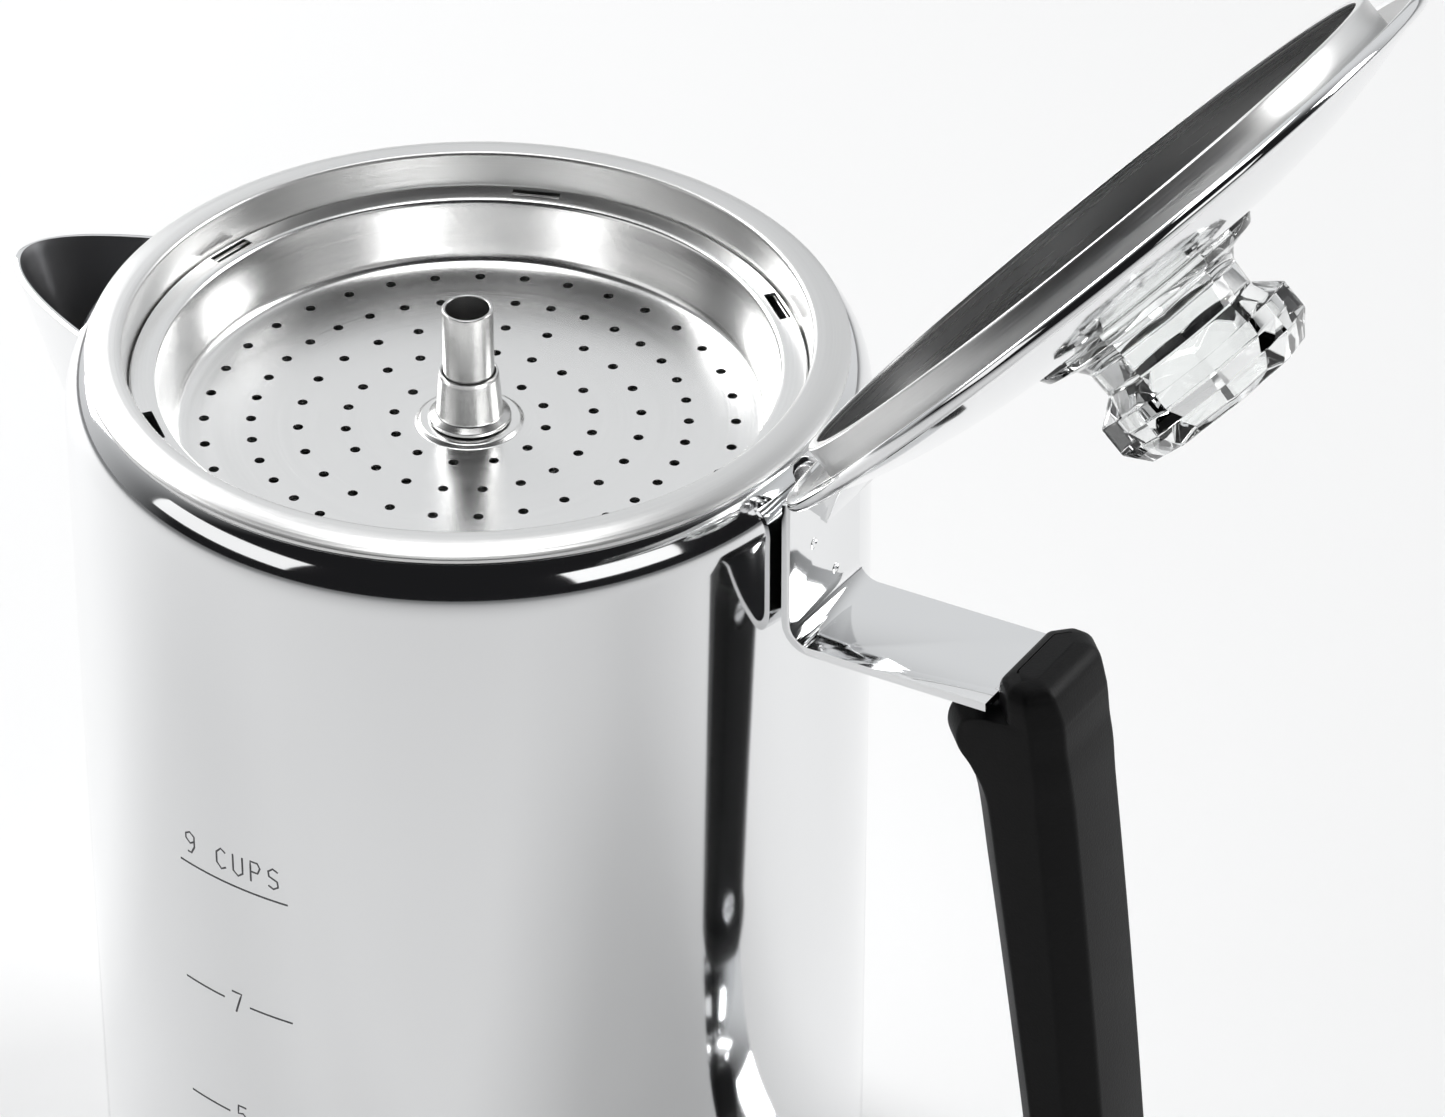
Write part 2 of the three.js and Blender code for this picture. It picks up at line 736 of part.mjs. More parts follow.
/** Bracket on the lid: a strip over the rim, two cheeks round the pin and a thumb plate. */
const cheekInner = knuckleHalfWidth + clearance;
const cheekOuter = cheekInner + cheekSheet;

function lidBracket() {
  const half = cheekSheet / 2;
  const over = (radius) => lidHeight + dome(radius) + sheet + clearance + half;
  const level = lidHeight + rimBead + clearance + half + 0.05;
  const strip = [
    [lidRadius - 10.3, over(lidRadius - 10.3)],
    [lidRadius - 6.8, over(lidRadius - 6.8)],
    [lidRadius - 3.2, level + 0.15],
    [lidRadius - 1.3, level],
    [hingeX - knuckleOuter - 0.4, level],
  ];
  const fromPin = (points) => points.map(([x, z]) => [hingeX + x, pinZ + z]);
  const edge = lidRadius + 0.2 - hingeX;
  const cheek = fromPin([
    [edge, level - pinZ - half],
    [edge, level - pinZ + half],
    [-3.4, level - pinZ + half],
    [-1.7, 4.6],
    [3.8, 6.9],
    [5.85, 2.17],
    ...arc(0, 0, 3.6, -15, -165, 6),
  ]);
  const thumb = fromPin([[-1.9, 4.05], [4.3, 6.65]]);
  const cheekY = (cheekInner + cheekOuter) / 2;
  return plate(bentSheet(strip, cheekSheet), 2 * cheekOuter)
    .add(plate(cheek, cheekSheet, cheekY))
    .add(plate(cheek, cheekSheet, -cheekY))
    .add(plate(bentSheet(thumb, cheekSheet), 2 * cheekOuter))
    .subtract(crosswise(knuckleInner, 4 * cheekOuter, hingeX, pinZ));
}

function hingePin() {
  const reach = cheekOuter + clearance;
  return crosswise(pinRadius, 2 * reach + pinHead, hingeX, pinZ)
    .add(crosswise(pinRadius + 1, pinHead, hingeX, pinZ, reach + pinHead / 2))
    .add(crosswise(pinRadius + 1, pinHead, hingeX, pinZ, -reach - pinHead / 2));
}

// ---------------------------------------------------------------- knob, as it lies on the closed lid
function knobGlass() {
  const foot = lidHeight + domeRise + sheet + clearance;
  const neck = knobHoleRadius - knobNeckInset;
  const head = neck + knobHeadFlare;
  const flange = knobHoleRadius + knobFlangeReach;
  const collar = knobHoleRadius - knobFit;
  const bore = knobHoleRadius - knobGlassWall;
  const boreTop = knobHeight - knobCrown;
  const raised = (outline) => outline.map(([radius, height]) => [radius, foot + height]);
  const lower = turned(raised([
    [0, -knobCollarDepth],
    [collar, -knobCollarDepth],
    [collar, 0],
    [flange, 0],
    [flange + 0.2, 0.9],
    [flange - 0.6, 2.1],
    [neck + 1.4, 3.2],
    [neck, 5],
    [neck, 9.6],
    [0, 9.6],
  ]), 32);
  const upper = turned(raised([
    [0, 9],
    [neck - 0.2, 9],
    [head, 12.4],
    [head, 17.4],
    [head - 3, knobHeight],
    [0, knobHeight],
  ]), knobFacets);
  const hollow = turned(raised([
    [0, -knobCollarDepth - 1],
    [bore, -knobCollarDepth - 1],
    [bore, boreTop - 3],
    [bore - 3, boreTop],
    [0, boreTop],
  ]), 24);
  const lugTop = lidHeight + domeRise - springSheet - 2 * clearance;
  const lugs = new THREE.BoxGeometry(2 * (knobHoleRadius + lugReach - clearance), lugWidth, lugThickness);
  lugs.translate(0, 0, lugTop - lugThickness / 2);
  return lower.add(upper).add(solid(lugs)).subtract(hollow);
}

/** The spring ring that keeps the knob's lugs tight against the lid. */
function knobSpring() {
  const top = lidHeight + domeRise - clearance;
  return turned([
    [knobHoleRadius, top - springSheet],
    [knobHoleRadius + springWidth, top - springSheet],
    [knobHoleRadius + springWidth, top],
    [knobHoleRadius, top],
  ], 32).subtract(lugSlot());
}

// ---------------------------------------------------------------- assembly
const percolator = new THREE.Group();
percolator.add(piece('pot_body', potBody(), mirrorSteel));
percolator.add(piece('base_disc', baseDisc(), satinSteel));
percolator.add(piece('spout', spout(), mirrorSteel));
percolator.add(piece('upper_strap', upperStrap(), mirrorSteel));
percolator.add(piece('lower_strap', lowerStrap(), mirrorSteel));
percolator.add(piece('grip', grip(), blackGrip));
percolator.add(piece('upper_grip_screw', gripScrew(upperScrewDrop), satinSteel));
percolator.add(piece('lower_grip_screw', gripScrew(lowerScrewDrop), satinSteel));
percolator.add(piece('hinge_pin', hingePin(), satinSteel));
percolator.add(piece('basket', basket(), satinSteel));
percolator.add(piece('basket_sleeve', basketSleeve(), satinSteel));
percolator.add(piece('spreader', spreader(), satinSteel));
percolator.add(piece('spreader_collar', spreaderCollar(), satinSteel));
percolator.add(piece('stem_tube', stemTube(), satinSteel));
percolator.add(piece('stem_bell', stemBell(), satinSteel));

// The lid's pieces are shaped closed, then swung open together about the hinge pin.
const closedLid = new THREE.Group();
closedLid.position.set(-hingeX, 0, -pinZ);
closedLid.add(piece('lid_shell', lidShell(), mirrorSteel));
closedLid.add(piece('lid_skirt', lidSkirt(), satinSteel));
closedLid.add(piece('lid_bracket', lidBracket(), mirrorSteel));
closedLid.add(piece('knob_spring', knobSpring(), satinSteel));
closedLid.add(piece('knob_glass', knobGlass(), clearGlass));
const lid = new THREE.Group();
lid.position.set(hingeX, 0, pinZ);
lid.rotation.y = radians(openAngle);
lid.add(closedLid);
percolator.add(lid);

export default percolator;
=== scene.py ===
# %% [markdown]
# # A coffee percolator with its lid open
# The pot, its straps and its grip were modelled as solids, and this lesson dresses them. Thin
# polished sheet metal shows every facet, so the round pieces are turned again here with far more
# steps, and the flat ones get softened edges. Every length is in metres, and +Z is up.

# %% Load the frame
from math import cos, hypot, pi, radians, sin, sqrt

import bmesh
import bpy
from mathutils import Matrix, Vector


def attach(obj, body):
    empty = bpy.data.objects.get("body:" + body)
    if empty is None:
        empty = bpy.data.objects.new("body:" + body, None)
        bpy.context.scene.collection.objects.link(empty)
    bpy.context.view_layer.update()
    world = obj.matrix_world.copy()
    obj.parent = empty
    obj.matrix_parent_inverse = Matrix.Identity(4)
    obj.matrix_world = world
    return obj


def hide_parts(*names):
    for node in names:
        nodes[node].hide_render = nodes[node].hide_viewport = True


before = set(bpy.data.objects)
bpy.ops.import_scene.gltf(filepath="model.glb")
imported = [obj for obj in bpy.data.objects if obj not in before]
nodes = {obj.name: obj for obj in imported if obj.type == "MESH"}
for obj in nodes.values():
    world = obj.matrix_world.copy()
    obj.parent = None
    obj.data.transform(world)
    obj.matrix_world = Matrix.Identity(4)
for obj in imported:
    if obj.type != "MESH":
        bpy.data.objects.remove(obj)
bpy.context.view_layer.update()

# %% [markdown]
# ## Sizes
# These are the sizes that the solids were made with. A round piece's outline is a list of
# (radius, height) pairs in millimetres, as on a turner's drawing, and `MM` turns it into metres.

# %% Sizes that several pieces share
MM = 0.001
BODY = 65.0  # outside radius of the pot
RIM = 178.0  # height of the pot's rim
SHEET = 0.8  # thickness of the drawn sheet
THIN = 0.7  # thickness of the spreader's and the skirt's sheet
GAP = 0.3  # space between neighbours
FLANGE = 61.5  # outer radius of the basket's flange
CROWN = RIM + 1.5  # top of that flange
WALL_TOP, WALL_FOOT = 55.5, 54.7  # the basket's collar, from its flange down to its step
CUP = 53.6  # inside radius of the basket's cup
STEM = 4.15  # outside radius of the stem
HINGE = Vector((69.5, 0, 181.5))
LID_OPEN = Matrix.Rotation(radians(132), 4, "Y")
LID_SWING = Matrix.Translation(HINGE * MM) @ LID_OPEN @ Matrix.Translation(-HINGE * MM)
PATTERN_TURN = radians(111)
print("pot", 2 * BODY, "mm across and", RIM, "mm to its rim")

# %% [markdown]
# ## Writing shaders as sums
# A node tree is easier to read as arithmetic. `Signal` holds one output socket, its operators add
# Math nodes, and `make` adds any other node: settings first, then the values or links.

# %% A socket with arithmetic
class Signal:
    """One output of a node tree; arithmetic on it adds Math nodes."""

    def __init__(self, tree, socket=None):
        self.tree = tree
        self.socket = socket

    def make(self, kind, settings=(), values=(), output=0):
        node = self.tree.nodes.new(kind)
        for name, value in dict(settings).items():
            setattr(node, name, value)
        for name, value in dict(values).items():
            if isinstance(value, Signal):
                self.tree.links.new(value.socket, node.inputs[name])
            else:
                node.inputs[name].default_value = value
        return Signal(self.tree, node.outputs[output] if len(node.outputs) else None)

    def math(self, operation, *values):
        return self.make("ShaderNodeMath", {"operation": operation}, dict(enumerate(values)))

    def __add__(self, other): return self.math("ADD", self, other)
    def __radd__(self, other): return self.math("ADD", other, self)
    def __sub__(self, other): return self.math("SUBTRACT", self, other)
    def __rsub__(self, other): return self.math("SUBTRACT", other, self)
    def __mul__(self, other): return self.math("MULTIPLY", self, other)
    def __rmul__(self, other): return self.math("MULTIPLY", other, self)

    def noise(self, place, scale, detail=2.0):
        return self.make("ShaderNodeTexNoise", (), {"Vector": place, "Scale": scale, "Detail": detail})

    def blend(self, factor, low, high):
        return self.make("ShaderNodeMix", {"data_type": "RGBA"}, {0: factor, 6: low, 7: high}, 2)

    def stretched(self, times):
        return self.make("ShaderNodeVectorMath", {"operation": "MULTIPLY"}, {0: self, 1: times})

    def bump(self, height, strength, distance):
        return self.make("ShaderNodeBump", (), {"Strength": strength, "Distance": distance, "Height": height})


def finish(name, constants, recipe=None):
    """A material: constants go on the shader's own sockets, and the recipe gives what varies."""
    material = bpy.data.materials.new(name)
    material.use_nodes = True
    tree = material.node_tree
    shader = tree.nodes["Principled BSDF"]
    for socket, value in constants.items():
        shader.inputs[socket].default_value = value
    if recipe:
        for socket, signal in recipe(Signal(tree)).items():
            tree.links.new(signal.socket, shader.inputs[socket])
    print("finish", name, "with", len(tree.nodes), "nodes")
    return material


# %% [markdown]
# ## The finishes
# The pot's outside is mirror-polished steel: nearly all of its look is what it reflects, so only a
# faint haze and the buffing wheel's soft waviness vary. The insert is satin: its sheet was
# finished while it spun, so fine rings run round its axis. Each turned piece carries a `turning`
# attribute with the cosine and sine round its axis and the distance along its outline. Noise that
# is stretched along that distance makes rings with no seam.

# %% Polished and satin steel
OBJECT = 3  # the Texture Coordinate node's object output


def polished(tree):
    place = tree.make("ShaderNodeTexCoord", output=OBJECT)
    haze = tree.noise(place, 38.0, 4.0)
    smudge = tree.noise(place, 9.0, 3.0)
    wave = tree.noise(place, 26.0, 1.0)
    return {
        "Roughness": 0.035 + 0.03 * haze + 0.035 * smudge,
        "Base Color": tree.blend(smudge, (0.83, 0.835, 0.84, 1), (0.88, 0.885, 0.89, 1)),
        "Normal": tree.bump(wave, 0.05, 0.0006),
    }


def ringed(fine, rough, tint, depth):
    """Satin of a spun piece: `fine` rings to the metre, and a deeper bump for a coarser finish."""
    def recipe(tree):
        turning = tree.make("ShaderNodeAttribute", {"attribute_name": "turning"}, output=1)
        rings = tree.noise(turning.stretched((0.9, 0.9, fine)), 1.0, 3.0)
        broad = tree.noise(turning.stretched((0.5, 0.5, fine * 0.12)), 1.0, 2.0)
        return {
            "Roughness": rough - 0.06 + 0.1 * rings + 0.06 * broad,
            "Base Color": tree.blend(rings, tuple(c * 0.93 for c in tint) + (1,), tint + (1,)),
            "Normal": tree.bump(rings, depth, 0.0001),
        }
    return recipe


def pulled(tree):
    """Satin on flat strips: scratches along the strip's width, as a belt leaves them."""
    place = tree.make("ShaderNodeTexCoord", output=OBJECT)
    grain = tree.noise(place.stretched((2500, 60, 2500)), 1.0, 3.0)
    return {"Roughness": 0.2 + 0.14 * grain, "Normal": tree.bump(grain, 0.15, 0.0001)}


METAL = {"Metallic": 1.0}
polished_steel = finish("polished_steel", METAL, polished)
satin_steel = finish("satin_steel", METAL, ringed(5200, 0.3, (0.80, 0.80, 0.795), 0.25))
bright_satin = finish("bright_satin", METAL, ringed(3800, 0.22, (0.93, 0.93, 0.925), 0.12))
# The lid's lining is satin with a much darker base colour: painted shade under the lid and inside its skirt.
lid_lining_shade = finish("lid_lining_shade", METAL, ringed(2600, 0.26, (0.42, 0.42, 0.42), 0.1))
# The spout's inside is rougher steel whose dark base colour is painted shade for that narrow hollow.
dull_shaded_steel = finish("dull_shaded_steel", METAL, ringed(900, 0.42, (0.2, 0.2, 0.205), 0.1))
stem_steel = finish("stem_steel", METAL, ringed(4200, 0.22, (0.66, 0.66, 0.655), 0.06))
screw_steel = finish("screw_steel", METAL | {"Base Color": (0.7, 0.7, 0.71, 1)}, pulled)

# %% [markdown]
# ## Grip plastic, glass and etched marks
# The grip is a black moulded plastic with a fine leathery grain that breaks up its gloss. The knob
# is clear pressed glass with slight waves. The level marks are etched, so they are a dull dark
# grey on the polished wall.

# %% Grip, glass and marks
def moulded(tree):
    place = tree.make("ShaderNodeTexCoord", output=OBJECT)
    grain = tree.noise(place, 2600.0, 3.0)
    wear = tree.noise(place, 45.0, 4.0)
    return {
        "Base Color": tree.blend(wear, (0.003, 0.003, 0.0033, 1), (0.008, 0.008, 0.0085, 1)),
        "Roughness": 0.36 + 0.12 * wear + 0.08 * grain,
        "Normal": tree.bump(grain, 0.3, 0.00012),
    }


def pressed(tree):
    wave = tree.noise(tree.make("ShaderNodeTexCoord", output=OBJECT), 120.0, 1.0)
    return {"Normal": tree.bump(wave, 0.05, 0.0005)}


def etched(tree):
    frost = tree.noise(tree.make("ShaderNodeTexCoord", output=OBJECT), 5000.0, 2.0)
    return {"Roughness": 0.45 + 0.2 * frost,
            "Base Color": tree.blend(frost, (0.09, 0.09, 0.095, 1), (0.16, 0.16, 0.165, 1))}


grip_black = finish("grip_black", {"Specular IOR Level": 0.16}, moulded)
clear_glass = finish("clear_glass", {"Base Color": (0.985, 0.995, 0.99, 1), "Roughness": 0.0,
                                     "IOR": 1.5, "Transmission Weight": 1.0}, pressed)
etched_mark = finish("etched_mark", {"Metallic": 0.6}, etched)

# %% [markdown]
# ## Turning a piece
# A lathe outline with sharp corners looks like card, because real pressed sheet bends round a
# radius and that radius catches the light. `rounded` swaps each corner for a short arc, and
# `turned` sweeps the outline round the axis into one closed mesh with single points at the poles.

# %% Outlines and turned meshes
ROUND_STEPS = 4
ON_AXIS = 1e-6


def rounded(outline, radius=0.35):
    """Swap the outline's corners for arcs; a corner may give its own radius as a third number."""
    result = []
    count = len(outline)
    for i, corner in enumerate(outline):
        here = Vector(corner[:2])
        if here.x < ON_AXIS:
            result.append(here)
            continue
        back = Vector(outline[i - 1][:2]) - here
        ahead = Vector(outline[(i + 1) % count][:2]) - here
        bend = back.angle(ahead, pi)
        size = corner[2] if len(corner) > 2 else radius
        steepness = sin(bend / 2) / max(cos(bend / 2), 1e-6)
        reach = min(size / max(steepness, 1e-6), 0.45 * min(back.length, ahead.length))
        if pi - bend < radians(3) or reach < 1e-4:
            result.append(here)
            continue
        first, last = here + back.normalized() * reach, here + ahead.normalized() * reach
        for step in range(ROUND_STEPS + 1):
            t = step / ROUND_STEPS
            result.append(first * (1 - t) ** 2 + here * 2 * t * (1 - t) + last * t * t)
    return result


def subdivided(points, longest=2.0):
    """Split the outline's long straight runs, so that a value kept per point stays true between."""
    result = []
    for here, after in zip(points, points[1:] + points[:1]):
        steps = max(int((after - here).length / longest), 1)
        steps = 1 if max(here.x, after.x) < ON_AXIS else steps
        result += [here.lerp(after, i / steps) for i in range(steps)]
    return result


def new_object(name, mesh):
    """An object for a mesh, or for a bmesh, which is used up."""
    if isinstance(mesh, bmesh.types.BMesh):
        bm, mesh = mesh, bpy.data.meshes.new(name)
        bm.to_mesh(mesh)
        bm.free()
    obj = bpy.data.objects.new(name, mesh)
    bpy.context.scene.collection.objects.link(obj)
    return obj


def turned(name, outline, around=192, radius_at=None):
    """Sweep a closed outline, in millimetres, round the Z axis."""
    bm = bmesh.new()
    rows = []
    for point in outline:
        if point.x < ON_AXIS:
            rows.append([bm.verts.new((0, 0, point.y * MM))])
            continue
        row = []
        for i in range(around):
            angle = 2 * pi * i / around
            radius = point.x * (radius_at(point.y, angle) if radius_at else 1) * MM
            row.append(bm.verts.new((radius * cos(angle), radius * sin(angle), point.y * MM)))
        rows.append(row)
    for a, b in zip(rows, rows[1:] + rows[:1]):
        for i in range(around):
            j = (i + 1) % around
            corners = [a[i % len(a)], a[j % len(a)], b[j % len(b)], b[i % len(b)]]
            corners = list(dict.fromkeys(corners))
            if len(corners) > 2:
                bm.faces.new(corners)
    bmesh.ops.recalc_face_normals(bm, faces=bm.faces)
    return new_object(name, bm)


def drum(name, radius, low, high, around=48):
    """A plain solid cylinder, for cutting with."""
    return turned(name, [Vector(p) for p in ((0, low), (radius, low), (radius, high), (0, high))], around)


def settled(obj, *modifiers):
    """Apply modifiers, given as (kind, settings), and keep the result as the object's plain mesh."""
    for kind, settings in modifiers:
        modifier = obj.modifiers.new(kind, kind)
        for key, value in settings.items():
            setattr(modifier, key, value)
    if obj.modifiers:
        graph = bpy.context.evaluated_depsgraph_get()
        mesh = bpy.data.meshes.new_from_object(obj.evaluated_get(graph))
        obj.modifiers.clear()
        obj.data = mesh
    return obj


def combined(tool, operation="DIFFERENCE"):
    """A boolean modifier's kind and settings, for `settled`."""
    return "BOOLEAN", {"object": tool, "operation": operation, "solver": "EXACT"}


def dressed(obj, material, body, slot, *replaced, placed=None, sharp=32, lining=None, is_lining=None):
    """Shade, place, colour and hand over a finished piece; `lining` colours the faces it is told."""
    mesh = obj.data
    turning = mesh.attributes.get("turning") or mesh.attributes.new("turning", "FLOAT_VECTOR", "POINT")
    for vertex, value in zip(mesh.vertices, turning.data):
        x, y, z = vertex.co
        radius = max(hypot(x, y), 1e-6)
        value.vector = (x / radius, y / radius, radius + z)
    mesh.transform(placed or Matrix.Identity(4))
    mesh.shade_smooth()
    mesh.set_sharp_from_angle(angle=radians(sharp))
    mesh.materials.clear()
    mesh.materials.append(material)
    if lining:
        mesh.materials.append(lining)
        for face in mesh.polygons:
            face.material_index = int(is_lining(face.center, face.normal))
    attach(obj, body)
    if replaced:
        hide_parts(*replaced)
    print(obj.name, "rides on", body, "with", len(mesh.polygons), "faces")
    return obj


# %% [markdown]
# ## Perforations that repeat
# The spreader and the basket's floor are punched with rings of holes. One small Geometry Nodes
# tree punches one ring: it copies a cutter round a circle and subtracts the copies. Each ring is
# one modifier with its own count and radius, so the hole pattern is a short table of numbers.

# %% A geometry tree with named inputs
def geometry_tree(name, **kinds):
    """A tree, a Signal for each named input, and a Signal to start new nodes from."""
    tree = bpy.data.node_groups.new(name, "GeometryNodeTree")
    for label, kind in kinds.items():
        tree.interface.new_socket(label, in_out="INPUT", socket_type="NodeSocket" + kind)
    tree.interface.new_socket("Geometry", in_out="OUTPUT", socket_type="NodeSocketGeometry")
    inputs = tree.nodes.new("NodeGroupInput")
    return tree, {socket.name: Signal(tree, socket) for socket in inputs.outputs if socket.name}, Signal(tree)


def add_tree(obj, tree, values):
    """Give an object the tree as a modifier, with its inputs set by name."""
    modifier = obj.modifiers.new(tree.name, "NODES")
    modifier.node_group = tree
    sockets = {item.name: item.identifier for item in tree.interface.items_tree if item.in_out == "INPUT"}
    for label, value in values.items():
        modifier[sockets[label]] = value


# %% The punching tree
def punch_tree():
    tree, take, start = geometry_tree("ring_of_cuts", Geometry="Geometry", Cutter="Object", Count="Int",
                                      Radius="Float", Turn="Float", Height="Float", Finish="Material")
    line = start.make("GeometryNodeMeshLine", (), {"Count": take["Count"], "Offset": (0, 0, 0)})
    index = start.make("GeometryNodeInputIndex")
    angle = take["Turn"] + index * start.math("DIVIDE", 2 * pi, take["Count"])
    x = take["Radius"] * start.math("COSINE", angle)
    y = take["Radius"] * start.math("SINE", angle)
    spot = start.make("ShaderNodeCombineXYZ", (), {0: x, 1: y, 2: take["Height"]})
    placed = start.make("GeometryNodeSetPosition", (), {"Geometry": line, "Position": spot})
    tool = start.make("GeometryNodeObjectInfo", (), {"Object": take["Cutter"]}, "Geometry")
    turn = start.make("ShaderNodeCombineXYZ", (), {2: angle})
    copies = start.make("GeometryNodeInstanceOnPoints", (),
                        {"Points": placed, "Instance": tool, "Rotation": turn})
    cutters = start.make("GeometryNodeRealizeInstances", (), {"Geometry": copies})
    cut = start.make("GeometryNodeMeshBoolean", {"operation": "DIFFERENCE", "solver": "EXACT"},
                     {"Mesh 1": take["Geometry"], "Mesh 2": cutters})
    real = start.make("GeometryNodeRealizeInstances", (), {"Geometry": cut})
    done = start.make("GeometryNodeSetMaterial", (), {"Geometry": real, "Material": take["Finish"]})
    start.make("NodeGroupOutput", (), {0: done})
    return tree


RING_OF_CUTS = punch_tree()


def ring_of_cuts(obj, cutter, count, ring, height, material):
    add_tree(obj, RING_OF_CUTS, {"Cutter": cutter, "Count": count, "Radius": ring * MM,
                                 "Turn": PATTERN_TURN, "Height": height * MM, "Finish": material})


def box_mesh(name, size):
    bm = bmesh.new()
    bmesh.ops.create_cube(bm, size=1)
    bmesh.ops.scale(bm, vec=size, verts=bm.verts)
    return new_object(name, bm)


hole_cutter = drum("hole_cutter", 0.85, -3, 3, around=14)
slot_cutter = box_mesh("slot_cutter", (2 * MM, 8 * MM, 1.2 * MM))
print("the punching tree has", len(RING_OF_CUTS.nodes), "nodes")

# %% [markdown]
# ## The pot
# The wall, shoulder and floor are one deep-drawn sheet. The shoulder is a quarter of an ellipse
# that ends in a small rolled-in lip, on which the basket's flange rests.

# %% Pot wall and base
MOUTH = 57.4
SHOULDER_RUN = BODY - MOUTH - 1.2
SHOULDER_RISE = 9.2
UNDER = (FLANGE - BODY) / SHOULDER_RUN + 1
SHOULDER_TOP = RIM - SHEET - GAP + SHOULDER_RISE * (1 - sqrt(1 - UNDER * UNDER))


def shoulder(inset, steps=14):
    angles = [pi / 2 * i / steps for i in range(steps + 1)]
    return [(BODY - SHOULDER_RUN + (SHOULDER_RUN - inset) * cos(a),
             SHOULDER_TOP - SHOULDER_RISE + (SHOULDER_RISE - inset) * sin(a), 0) for a in angles]


pot_outline = [
    (0, 3.3), (57, 3.3, 2), (BODY, 3.3, 6), *shoulder(0), (MOUTH, SHOULDER_TOP, 1),
    (MOUTH, SHOULDER_TOP - 3.2), (MOUTH + SHEET, SHOULDER_TOP - 3.2),
    (MOUTH + SHEET, SHOULDER_TOP - SHEET, 0.6), *shoulder(SHEET)[::-1],
    (BODY - SHEET, 4.1, 5.2), (0, 4.1),
]
pot_wall = turned("pot_wall", rounded(pot_outline), around=256)

# %% The pour window behind the spout
WINDOW_REACH = -58, -72  # the cutter passes through the wall between these
side_top, side_pull, point_low = Vector((9, 163)), Vector((7.2, 142)), Vector((0, 133))
window = [Vector((-9, 163)), side_top]
for step in range(1, 13):
    t = step / 12
    window.append(side_top * (1 - t) ** 2 + side_pull * 2 * t * (1 - t) + point_low * t * t)
window += [Vector((-p.x, p.y)) for p in window[-2:1:-1]]
bm = bmesh.new()
near, far = ([bm.verts.new((x * MM, p.x * MM, p.y * MM)) for p in window] for x in WINDOW_REACH)
bm.faces.new(near)
bm.faces.new(far)
for i in range(len(window)):
    bm.faces.new((near[i - 1], near[i], far[i], far[i - 1]))
bmesh.ops.recalc_face_normals(bm, faces=bm.faces)
window_cutter = new_object("window_cutter", bm)
settled(pot_wall, combined(window_cutter))


def faces_pot_axis(center, normal):
    """The inside of the pot below its lip, which is left satin."""
    return center.z < (RIM - 12) * MM and (
        normal.x * center.x + normal.y * center.y < -0.3 * hypot(center.x, center.y)
        or (normal.z > 0.5 and center.z < 0.02))


dressed(pot_wall, polished_steel, "pot", "mirror_steel", "pot_body",
        lining=satin_steel, is_lining=faces_pot_axis)
base = turned("base_plate", rounded([(0, 0), (56, 0, 1.2), (56, 3, 0.3), (0, 3)]))
dressed(base, satin_steel, "pot", "satin_steel", "base_disc")

# %% [markdown]
# ## The spout
# The spout is one sheet folded to a V and welded to the wall. Each level section is a parabola
# that shrinks towards the keel, so the skin is a grid of such sections. It ends where it meets
# the wall, and a solidify modifier gives it its thickness.

# %% Spout skin
SPOUT_ROWS, SPOUT_STEPS = 40, 48
SPOUT_SIDE = BODY + 0.35
SPOUT_TOP, SPOUT_LENGTH = 166.4, 68


def spout_row(down):
    """One level section, from side to side, cut off where it meets the wall."""
    reach = max(25.5 * (1 - down), 0.4)
    half = max(17 * (1 - down) ** 0.85 + 0.8, 0.4)

    def at(side):
        return (-(BODY - 1.5 + reach * (1 - side * side)), half * side)

    low, high = 0.0, 1.0
    for _ in range(30):
        middle = (low + high) / 2
        low, high = (middle, high) if hypot(*at(middle)) > SPOUT_SIDE else (low, middle)
    return [at(low * (1 - 2 * i / SPOUT_STEPS)) for i in range(SPOUT_STEPS + 1)]


bm = bmesh.new()
grid = []
for row in range(SPOUT_ROWS + 1):
    down = 0.925 * row / SPOUT_ROWS
    height = (SPOUT_TOP - SPOUT_LENGTH * down) * MM
    grid.append([bm.verts.new((x * MM, y * MM, height)) for x, y in spout_row(down)])
for upper, lower in zip(grid, grid[1:]):
    for i in range(SPOUT_STEPS):
        bm.faces.new((upper[i], lower[i], lower[i + 1], upper[i + 1]))
bm.normal_update()
middle_face = min(bm.faces, key=lambda f: (f.calc_center_median() - Vector((-0.09, 0, 0.16))).length)
if middle_face.normal.x > 0:
    bmesh.ops.reverse_faces(bm, faces=bm.faces)
spout = new_object("spout_skin", bm)
settled(spout, ("SOLIDIFY", {"thickness": 1.0 * MM, "offset": -1.0}),
        ("BEVEL", {"width": 0.3 * MM, "segments": 3, "limit_method": "ANGLE", "angle_limit": radians(50)}))


def faces_inwards(center, normal):
    return normal.x * (center.x + 0.066) + normal.y * center.y < 0 and abs(normal.z) < 0.7


# The inward faces get the dark steel: painted shade inside the folded V.
dressed(spout, polished_steel, "pot", "mirror_steel", "spout", sharp=50,
        lining=dull_shaded_steel, is_lining=faces_inwards)

# %% [markdown]
# ## The basket and the spreader
# The basket hangs in the pot's mouth by its flange. The spreader rests on the step below it: a
# shallow dish whose disc lets the hot water drip evenly on the coffee.

# %% Basket
def flange_height(radius):
    out = max(radius - (WALL_TOP + 1.5), 0) / (FLANGE - WALL_TOP - 1.5)
    return CROWN - 1.5 * out * out


